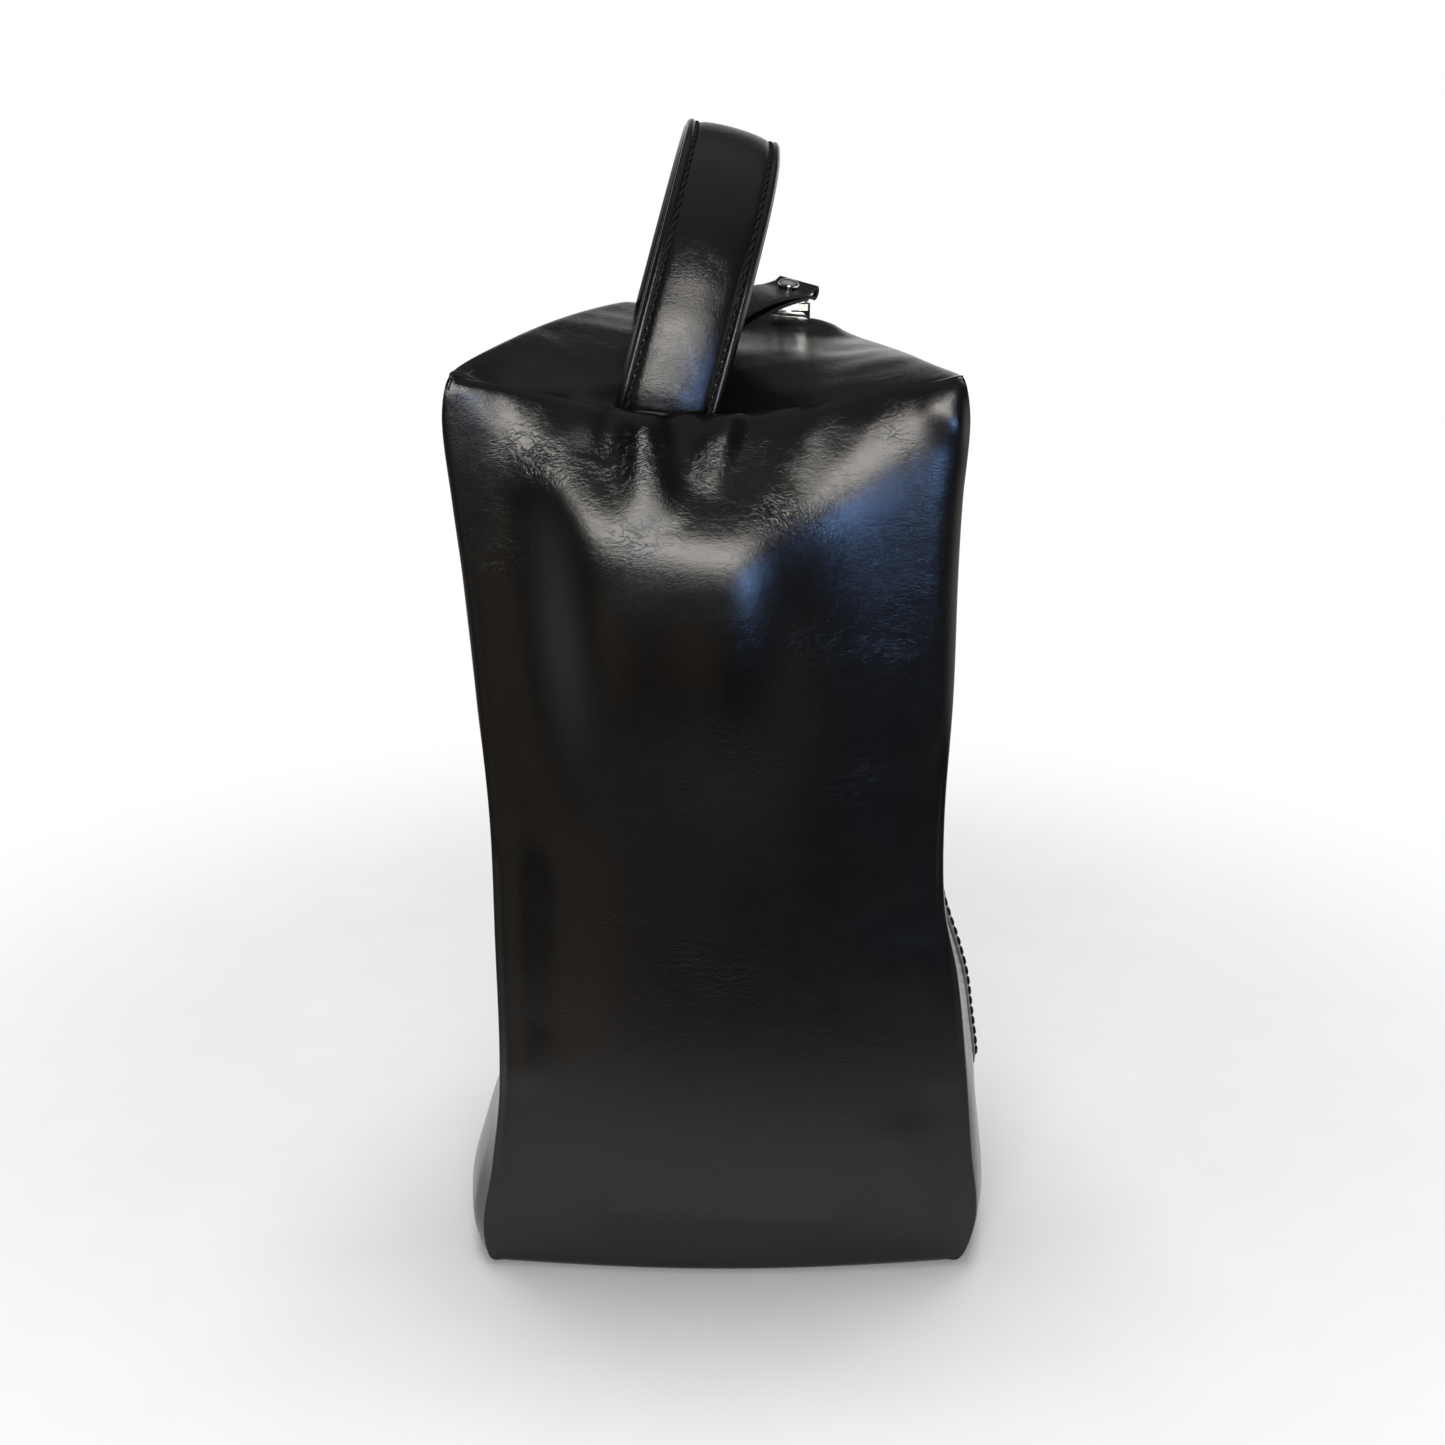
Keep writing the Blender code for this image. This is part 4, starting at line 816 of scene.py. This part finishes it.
for node_name in ("zip_bottom_stop", "zip_top_stop_left", "zip_top_stop_right"):
    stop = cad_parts[node_name]
    stop.data.materials.clear()
    stop.data.materials.append(NICKEL_TEETH)
    round_off = stop.modifiers.new("round", "BEVEL")
    round_off.width = 0.00015
    round_off.segments = 2


# ------------------------------ lining and foam
def every_third(lines):
    """Indices of every third line, with the ends and the zip's gap kept."""
    last = len(lines) - 1
    kept = SLOT if lines is ACROSS else (NOTCH_SHARE,) if lines is DEEP else ()
    return sorted({0, last} | {int(np.argmin(abs(lines - x))) for x in kept} | set(range(0, last, 3)))


hung = bmesh.new()
for panel, (moved, _) in grids.items():
    if panel in zip_lines:
        kept = ACROSS[every_third(ACROSS)]
        keep_s = [k for k, line in enumerate(zip_lines[panel]) if min(abs(kept - line)) < 1e-9]
        keep_t, flip = every_third(UP), panel == "zip0"
    else:
        _, lines_s, lines_t, flip = PANELS[panel]
        keep_s, keep_t = every_third(lines_s), every_third(lines_t)
    picked = moved[np.ix_(keep_t, keep_s)]
    spots = [[hung.verts.new(Vector(p)) for p in row] for row in picked]
    for j in range(len(spots) - 1):
        for i in range(len(spots[0]) - 1):
            middle = picked[j:j + 2, i:i + 2].mean((0, 1))
            in_gap = abs(middle[0] - ZIP_X) < ZIP_SLOT / 2 and middle[1] > BACK_Y - NOTCH_DEPTH
            if panel == "upper" and in_gap:
                continue
            ring = (spots[j][i], spots[j][i + 1], spots[j + 1][i + 1], spots[j + 1][i])
            hung.faces.new(tuple(reversed(ring)) if flip else ring)
bmesh.ops.remove_doubles(hung, verts=hung.verts, dist=0.00005)
hung.normal_update()
shifts = [(vertex, vertex.co - vertex.normal * vertex.calc_shell_factor() * LINING_DEPTH)
          for vertex in hung.verts]
for vertex, place in shifts:
    vertex.co = place
data = bpy.data.meshes.new("lining_cloth")
hung.to_mesh(data)
hung.free()
dress(thicken(finish_mesh("lining_cloth", data), 0.0006), "bag", LINING_CLOTH, "lining", "lining")
moved, normal = grids["base"]
keep_s, keep_t = ([i for i in every_third(lines) if 0.03 < lines[i] < 0.97] for lines in (ACROSS, UP))
inside = (moved - normal * 0.0017)[np.ix_(keep_t, keep_s)]
dress(thicken(grid_mesh("base_foam", inside), 0.0010), "bag", LINING_CLOTH, "foam", "base_padding")

# ------------------------------ stitches beside the zip
sewing = bmesh.new()
for sign in (-1, 1):
    x_run = ZIP_X + sign * (ZIP_SLOT / 2 + ZIP_STITCHES)
    z = 0.006
    while z < EDGE_Z - 0.006:
        stitch(sewing, Vector((x_run, BACK_Y + 0.00035, z)), Vector((0, 0, 1)), Vector((0, 1, 0)))
        z += STITCH_PITCH
dress(solid("zip_topstitching", sewing), "bag", THREAD, "leather")

# ------------------------------ pocket on the right side
moved, normal = grids["right"]
columns = (DEEP >= POCKET_DEEP[0]) & (DEEP <= POCKET_DEEP[1])
rows = (UP >= POCKET_HIGH[0]) & (UP <= POCKET_HIGH[1])
skin, out = moved[np.ix_(rows, columns)], normal[np.ix_(rows, columns)]
u, v = ((lines - lines[0]) / (lines[-1] - lines[0]) for lines in (DEEP[columns], UP[rows]))
to_left, to_right, to_low, to_high = border_gaps(skin)
seam_gap = np.minimum.reduce([to_left, to_low, to_high])
fullness = 0.0012 + 0.0022 * arch(v)[:, None] * np.minimum(1, 1.6 * u)[None]
hem = 0.0007 * smooth(0, 0.0006, to_right) * (1 - smooth(0.0085, 0.0095, to_right))
turn = -0.0010 * fall(seam_gap, 0.0012)
dip = -0.0005 * np.exp(-((seam_gap - POCKET_STITCHES) / 0.0007) ** 2)
puff = 0.0007 * smooth(0.004, 0.012, seam_gap) * value_noise(skin, 0.03, 41)
lift = 0.0013 + fullness + hem + turn + dip + puff - 0.0012 * (1 - smooth(0, 0.004, seam_gap))
patch = skin + out * lift[..., None]
piece = thicken(grid_mesh("leather_side_pocket", patch), LEATHER)
dress(piece, "bag", LEATHER_BLACK, "leather", "side_pocket_panel")


def stitch_run(made, run, outward, lift=0.0002):
    """Stitches at an even pitch along a line of points with outward directions."""
    far = run_lengths(run)
    count = int(far[-1] / STITCH_PITCH)

    def at(line, d):
        return Vector([np.interp(d, far, line[:, i]) for i in range(3)])
    for k in range(count):
        d = (k + 0.5) * far[-1] / count
        along = at(run, min(d + 0.001, far[-1])) - at(run, max(d - 0.001, 0))
        out = at(outward, d).normalized()
        stitch(made, at(run, d) + out * lift, along.normalized(), out)


def inner_line(field, distance, axis, start):
    """The line across a grid at which a distance field first reaches a value."""
    field = field if axis else field.T
    found = []
    for k, values in enumerate(field):
        i = min(int(np.searchsorted(values[::-1] if start else values, distance)), len(values) - 1)
        index = len(values) - 1 - i if start else i
        found.append((k, index) if axis else (index, k))
    spots = tuple(np.array(found[2:-2]).T)
    return patch[spots], out[spots]


sewing = bmesh.new()
for field, distance, axis, start in (
        (to_left, POCKET_STITCHES, 1, 0), (to_low, POCKET_STITCHES, 0, 0),
        (to_high, POCKET_STITCHES, 0, 1), (to_right, HEM_STITCHES, 1, 1)):
    stitch_run(sewing, *inner_line(field, distance, axis, start))
dress(solid("pocket_stitching", sewing), "bag", THREAD, "leather")

# ------------------------------ carry strap
STRAP_SPAN = 0.103217
STRAP_RISE = 0.0489
STRAP_POWER = 2 / 2.2
STRAP_STATIONS = 190
# How far the strap's front leg leans back at each height over its root
LEG_LEAN = ((-0.021, -0.0026), (-0.014, -0.0027), (-0.0095, -0.0024), (0, -0.0003), (0.010, 0.0018),
            (0.018, 0.0030), (0.030, 0.0028), (0.049, 0))
STRAP_ROOT = Matrix(((0.99981, 0.01938, -0.00226, -0.0112), (-0.01951, 0.99305, -0.11604, -0.048),
                     (0.0, 0.11606, 0.99324, 0.257948), (0, 0, 0, 1)))
STRAP_FRAME = STRAP_ROOT @ Matrix.Rotation(math.radians(15.5), 4, "Y")
# Right halves of the strap's sections (across, rise), from the middle out and under, in micrometres
GROOVE = 10550
FACE = ((0, 2700), (2000, 2670), (4000, 2570), (6000, 2390), (8000, 2100), (9000, 1870), (9800, 1550),
        (10350, 1100), (GROOVE, 1050), (10750, 1100), (11150, 1650), (11650, 1950), (12150, 1950),
        (12650, 1700), (13050, 1250), (13250, 800), (13150, 450), (12750, 300), (9750, 300),
        (9350, 800), (400, 1300))
BACKING = ((0, -2300), (4000, -2280), (8000, -2100), (9600, -1900), (10350, -1400), (GROOVE, -1350),
           (10750, -1400), (11250, -1800), (11850, -1950), (12550, -1800), (13200, -1450),
           (13600, -900), (13600, -400), (13200, 100), (12600, 250), (9750, 250), (9350, -600),
           (400, -1000))
FILLER = ((0, 1000), (6000, 700), (8750, 300), (8750, -200), (6000, -400), (400, -700))
STRAP_STITCHES = ((0.0014, 0.30), (-0.0017, -0.30))      # rise of the row, slant


def strap_line(steps=150):
    """Centres and outward directions along the strap, from front foot to back foot, and lengths."""
    half = STRAP_SPAN / 2
    centres = [(0, 0, -d) for d in np.linspace(0.021, 0.0012, 12)]
    for k in range(steps + 1):
        c, s = math.cos(math.pi * k / steps), math.sin(math.pi * k / steps)
        centres.append((0, half - half * math.copysign(abs(c) ** STRAP_POWER, c),
                        STRAP_RISE * abs(s) ** STRAP_POWER))
    centres += [(0, STRAP_SPAN + 0.001 * (d / 0.016), -d) for d in np.linspace(0.0012, 0.016, 9)]
    centres = np.array(centres)
    front = centres[:, 1] < half
    centres[front, 1] += through_stations(LEG_LEAN, centres[front, 2])
    far = run_lengths(centres)
    even = np.linspace(0, far[-1], STRAP_STATIONS)
    line = np.stack([np.interp(even, far, centres[:, i]) for i in range(3)], -1)
    for _ in range(2):
        line[1:-1] = (line[:-2] + 2 * line[1:-1] + line[2:]) / 4
    along = np.gradient(line, axis=0)
    along /= np.linalg.norm(along, axis=-1)[:, None]
    return line, np.cross(np.array([1.0, 0, 0])[None], along), even


strap_centre, strap_out, strap_far = strap_line()


def strap_point(i, across, rise):
    """A place on the strap at a station, across its width and out from its middle."""
    i = min(max(i, 0), STRAP_STATIONS - 1)
    place = Vector(strap_centre[i]) + Vector((across, 0, 0)) + Vector(strap_out[i]) * rise
    return STRAP_FRAME @ place


def strap_layer(name, half):
    """A closed band along the strap, from the right half of its section."""
    section = [(-a / 1e6, r / 1e6) for a, r in reversed(half[1:])] + [(a / 1e6, r / 1e6) for a, r in half]
    rings = [[strap_point(i, a, r) for a, r in section] for i in range(STRAP_STATIONS)]
    piece = solid(name, loft(bmesh.new(), rings))
    mark_creases(piece, 0.25)
    return piece


strap_pieces = [dress(strap_layer(name, half), None, material, "strap", node_name)
                for name, half, material, node_name in (
                    ("strap_face_leather", FACE, STRAP_BLACK, "strap_face"),
                    ("strap_backing_leather", BACKING, STRAP_BLACK, "strap_backing"),
                    ("strap_filler", FILLER, LINING_CLOTH, "strap_core"))]
sewing = bmesh.new()
for rise, slant in STRAP_STITCHES:
    for across in (-GROOVE / 1e6, GROOVE / 1e6):
        d = STITCH_PITCH
        while d < strap_far[-1] - STITCH_PITCH:
            i = int(np.searchsorted(strap_far, d))
            here = strap_point(i, across, rise)
            along = strap_point(i + 1, across, rise) - strap_point(i - 1, across, rise)
            above = strap_point(i, across, rise + math.copysign(0.001, rise)) - here
            stitch(sewing, here, along.normalized(), above.normalized(), 0.0030, 0.00042, slant)
            d += STITCH_PITCH
strap_pieces.append(dress(solid("strap_stitching", sewing), None, THREAD, "strap"))
for piece in strap_pieces:
    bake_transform(piece)

# ------------------------------ slider
PLATE = 0.0011
BRIDGE_WINDOW = 0.005
gap = TOOTH_HEIGHT / 2 + CLEARANCE
middle = gap + PLATE / 2
IN_SLIDER = Matrix.Translation((ZIP_X, CHAIN_Y, SLIDER_Z))


def arcs(corners, radius, steps, sweep=90):
    """Points round quarter circles with (x, z, first angle in degrees)."""
    return [(x + radius * math.cos(a), z + radius * math.sin(a)) for x, z, start in corners
            for a in (math.radians(start + sweep * k / steps) for k in range(steps + 1))]


def flat_prism(name, outline, low, high):
    return solid(name, prism(outline, low, high, lambda u, v, w: (u, w, v)))


low_x, high_x, end_z = 0.0046 - 0.0018, 0.0052 - 0.0018, SLIDER_LENGTH / 2 - 0.0018
outline = arcs(((low_x, -end_z, -90), (high_x, end_z, 0), (-high_x, end_z, 90), (-low_x, -end_z, 180)),
               0.0018, 6)
slider = flat_prism("slider_body", outline, gap, gap + PLATE)
neck_end = SLIDER_LENGTH / 2 - 0.0006
neck = ((-0.0004, 0.0024), (0.0004, 0.0024), (0.0008, neck_end), (-0.0008, neck_end))
tools = [flat_prism("lower", outline, -gap - PLATE, -gap), flat_prism("neck", neck, -middle, middle)]
tools += [flat_prism("rail", rectangle(s * 0.0038, s * 0.0046, -0.0037, 0.0037),
                     *sorted((f * 0.00055, f * middle))) for s in (-1, 1) for f in (-1, 1)]
for tool in tools:
    combine(slider, tool, "UNION")
dress(rounded(put(slider, IN_SLIDER), 0.00028), "zip_slider", CHROME, "chrome", "zip_slider")
bridge = bmesh.new()
top = gap + PLATE + BRIDGE_WINDOW
rising = ((middle, 0.0026), (top - 0.0016, 0.0026), (top - 0.0004, 0.0022), (top + 0.0003, 0.0012))
path = [*((y, -z) for y, z in rising), (top + 0.0005, 0), *reversed(rising)]
tube(bridge, [Vector((0, y, z)) for y, z in path], 0.0006, Vector((1, 0, 0)), 10)
for vertex in bridge.verts:
    vertex.co.x *= 1.5
dress(put(solid("slider_bridge", bridge), IN_SLIDER), "zip_slider", CHROME, "chrome")

# ------------------------------ loop and tab
PULL_AXIS = Vector((-0.86, 0.45, 0.18)).normalized()
LOOP_WIRE = 0.0016
LOOP_REACH = 0.0114
LOOP_INNER_WIDTH = 0.0064
LOOP_CORNER = 0.0016
TAB_WIDTH, TAB_LENGTH, TAB_LEATHER, TAB_SPLAY = 0.013, 0.055, 0.0012, 0.003
RIVET_PLACE, RIVET_HEAD = 0.0066, 0.0066


def square_to_axis(vector):
    return (vector - PULL_AXIS * vector.dot(PULL_AXIS)).normalized()


def basis(x_axis, y_axis, z_axis, origin):
    matrix = Matrix((x_axis, y_axis, z_axis)).transposed().to_4x4()
    matrix.translation = origin
    return matrix


bridge_bar = Vector((ZIP_X, CHAIN_Y + gap + PLATE + BRIDGE_WINDOW / 2 + 0.0006, SLIDER_Z + 0.0006))
reach = square_to_axis(Vector((0, 0.14, 1)))
fold = bridge_bar + reach * LOOP_REACH
wire = bmesh.new()
leg = (LOOP_INNER_WIDTH + LOOP_WIRE) / 2
near_x, far_z = leg - LOOP_CORNER, LOOP_REACH - LOOP_CORNER
path = arcs(((near_x, LOOP_CORNER, -90), (near_x, far_z, 0), (-near_x, far_z, 90),
             (-near_x, LOOP_CORNER, 180)), LOOP_CORNER, 7)
tube(wire, [Vector((x, 0, z)) for x, z in path], LOOP_WIRE / 2, Vector((0, 1, 0)), 16, closed=True)
loop = put(solid("pull_wire", wire), basis(PULL_AXIS, -PULL_AXIS.cross(reach), reach, bridge_bar))
dress(loop, "pull_loop", CHROME, "chrome", "pull_loop")

along = square_to_axis(Vector((-0.455, -0.885, -0.035)))
tab_up = along.cross(PULL_AXIS)
IN_TAB = basis(PULL_AXIS, along, tab_up if tab_up.z > 0 else -tab_up, fold)
inner = LOOP_WIRE / 2 + CLEARANCE
outer = inner + TAB_LEATHER
pinch, pressed = (RIVET_PLACE + sign * (RIVET_HEAD / 2 + CLEARANCE) for sign in (-1, 1))


def leaves(distance):
    """Undersides of the upper leaf and top of the lower: they bow up, then droop and splay."""
    share = max(0.0, (distance - pressed) / (TAB_LENGTH - pressed))
    bow = 0.0012 * math.sin(math.pi * min(1.0, share * 1.15)) - 0.0010 * share ** 2
    return 0.00015 + bow, bow * 0.6 - 0.00015 - TAB_SPLAY * share ** 1.4


stations = [pinch] + [pressed + (TAB_LENGTH - pressed) * k / 22 for k in range(23)]
upper, lower = ([(d, leaves(d)[leaf]) for d in stations] for leaf in (0, 1))
upper_outer, lower_outer = ([(d, level + step) for d, level in leaf]
                            for leaf, step in ((upper, TAB_LEATHER), (lower, -TAB_LEATHER)))
round_outer, round_inner = (arcs(((0, 0, 90),), radius, 24, 180) for radius in (outer, inner))
outline = upper_outer[::-1] + round_outer + lower_outer + lower[::-1] + round_inner[::-1] + upper
tab = solid("tab_leather", prism(outline, -TAB_WIDTH / 2, TAB_WIDTH / 2, lambda u, v, w: (w, u, v)))
# Slots for the loop's legs, at rest and with the tab swung up
slot_half, slot_end, beyond = inner, LOOP_WIRE + 2 * CLEARANCE, -outer - 0.001
for side in (-leg, leg):
    for end, low, high in ((slot_end, beyond, 0.0004), (-0.0002, 0.0002, 0.0016)):
        box = prism(rectangle(side - slot_half, side + slot_half, beyond, end), low, high)
        combine(tab, solid("slot", box), "DIFFERENCE")
mark_creases(tab, 0.3)
for face in tab.data.polygons:
    face.material_index = 1 if abs(face.normal.x) > 0.7 or abs(face.normal.y) > 0.98 else 0
rounded(put(tab, IN_TAB), 0.00022, 2, 50)
dress(tab, "pull_tab", (STRAP_BLACK, RAW_EDGE), "leather", "pull_tab")


def turned(profile, sides=40):
    """A solid of revolution about z; the profile runs from its top to its bottom."""
    made = bmesh.new()
    top, bottom = made.verts.new((0, 0, profile[0][1])), made.verts.new((0, 0, profile[-1][1]))
    angles = [2 * math.pi * k / sides for k in range(sides)]
    rings = [[made.verts.new((r * math.cos(a), r * math.sin(a), h)) for a in angles] for r, h in profile]
    for k in range(sides):
        m = (k + 1) % sides
        made.faces.new((top, rings[0][k], rings[0][m]))
        for one, two in zip(rings, rings[1:]):
            made.faces.new((one[k], two[k], two[m], one[m]))
        made.faces.new((bottom, rings[-1][m], rings[-1][k]))
    return made


face_level = 0.0003 + TAB_LEATHER
cap_foot = face_level + CLEARANCE
rim = RIVET_HEAD / 2
dome = [(rim * math.sin(a), cap_foot + 0.0004 + 0.0016 * math.cos(a))
        for a in (math.radians(d) for d in (4, 10, 18, 26, 34, 42, 50, 58, 66, 74, 82, 90))]
dome += [(rim, cap_foot + 0.0001), (rim - 0.0002, cap_foot - 0.0002), (0.0008, cap_foot - 0.0002)]
flange = [(0.0013, cap_foot)] + [(r, -face_level - d) for r, d in (
    (0.0013, 0.0004), (0.0029, 0.0004), (0.0031, 0.0006), (0.0030, 0.0009), (0.0024, 0.0013),
    (0.0010, 0.0014))]
soft_pieces = [tab]
for name, profile, node_name in (("rivet_dome", dome, "rivet_cap"),
                                 ("rivet_flange", flange, "rivet_post")):
    piece = solid(name, turned(profile))
    by_angle(piece, 50)
    put(piece, IN_TAB @ Matrix.Translation((0, RIVET_PLACE, 0)))
    soft_pieces.append(dress(piece, "pull_tab", CHROME, "chrome", node_name))
# The tab and its rivet have their modifiers baked into meshes of their own
for piece in soft_pieces:
    bake(piece)
    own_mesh(piece)

# ------------------------------ floor, light, camera
scene = bpy.context.scene
made = bmesh.new()
bmesh.ops.create_grid(made, x_segments=8, y_segments=8, size=0.9)
floor = solid("floor", made)
floor.location = (0, 0, -0.0001)
material, nodes = new_material("pale_floor")
place = nodes.add("NewGeometry", {}, "Position")
from_middle = nodes.add("VectorMath", {0: place, 1: (0, 0.07, 0)}, "Value", operation="DISTANCE")
nodes.shade({"Alpha": nodes.eased(from_middle, 0.16, 0.38, 1.0, 0.0),
             "Base Color": nodes.ramp(nodes.noise(place, 30.0), (0.3, 0.84), (0.7, 0.86)),
             "Roughness": 0.55, "Specular IOR Level": 0.3})
floor.data.materials.append(material)


def area_light(name, place, target, width, height, power, colour):
    lamp = bpy.data.lights.new(name, "AREA")
    lamp.shape = "RECTANGLE"
    lamp.size, lamp.size_y = width, height
    lamp.energy = power
    lamp.color = colour
    holder = bpy.data.objects.new(name, lamp)
    scene.collection.objects.link(holder)
    holder.location = place
    holder.rotation_euler = (Vector(target) - Vector(place)).to_track_quat("-Z", "Y").to_euler()
    return holder


area_light("key", (-0.09, -1.32, 0.545), (0, 0, 0.21), 0.74, 0.48, 11.8, (1.0, 0.96, 0.91))
area_light("cool_fill", (0.30, -1.15, 0.17), (0, 0, 0.2), 0.24, 0.07, 1.9, (0.26, 0.48, 1.0))
overhead = area_light("overhead", (0.0, 0.25, 1.9), (0, 0, 0.15), 1.0, 0.8, 24, (1.0, 1.0, 1.0))
overhead.visible_glossy = False

# White where the camera looks past the object; what the gloss reflects is a room that is dark in
# front, bright behind, and warm at the left and cool at the right of its low front
world = bpy.data.worlds.new("studio")
scene.world = world
world.use_nodes = True
world.node_tree.nodes.clear()
nodes = Nodes(world.node_tree)
toward = nodes.add("SeparateXYZ", {0: nodes.add("TexCoord", {}, "Generated")}, None)
front = nodes.eased(toward["Y"], -0.90, -0.10, 0.02, 1.0)
above = nodes.eased(toward["Z"], 0.02, 0.33, 1.0, 0.0)
ceiling = nodes.eased(toward["Z"], 0.35, 0.95, 0.04, 0.30)
low_front = nodes.eased(toward["Y"], -0.75, -0.95, 0.0, 1.0)
lowered = nodes.eased(toward["Z"], -0.12, -0.34, 0.0, 1.0)
across = nodes.add("MapRange", {"Value": toward["X"], "From Min": -0.30, "From Max": 0.30})
tints = nodes.ramp(across, (0.0, (0.56, 0.42, 0.26)), (0.16, (0.48, 0.35, 0.21)),
                   (0.34, (0.03, 0.02, 0.015)), (0.60, (0.02, 0.02, 0.025)), (1.0, (0.08, 0.10, 0.13)))
walls = nodes.add("Math", {0: front, 1: above}, operation="MULTIPLY")
room = nodes.add("MixRGB", {
    "Fac": nodes.add("Math", {0: low_front, 1: lowered}, operation="MULTIPLY"),
    "Color1": nodes.add("Math", {0: walls, 1: ceiling}, operation="MAXIMUM"), "Color2": tints})
rays = nodes.add("LightPath", {}, None)
seen, around, glossy = (nodes.add("Background", {"Color": colour, "Strength": strength})
                        for colour, strength in (((1, 1, 1, 1), 1.0), ((1, 1, 1, 1), 0.28), (room, 1.0)))
lit = nodes.add("MixShader", {0: rays["Is Glossy Ray"], 1: around, 2: glossy})
straight = nodes.add("Math", {0: rays["Is Camera Ray"], 1: rays["Is Transmission Ray"]},
                     operation="MAXIMUM")
nodes.add("OutputWorld", {0: nodes.add("MixShader", {0: straight, 1: lit, 2: seen})}, None)

scene.view_settings.view_transform = "Standard"
camera_data = bpy.data.cameras.new("camera")
camera_data.lens = 58.15
camera_data.sensor_width = 36
camera = bpy.data.objects.new("camera", camera_data)
scene.collection.objects.link(camera)
camera.location = (0, -0.657, 0.357)
camera.rotation_euler = (math.radians(72), 0, 0)
scene.camera = camera
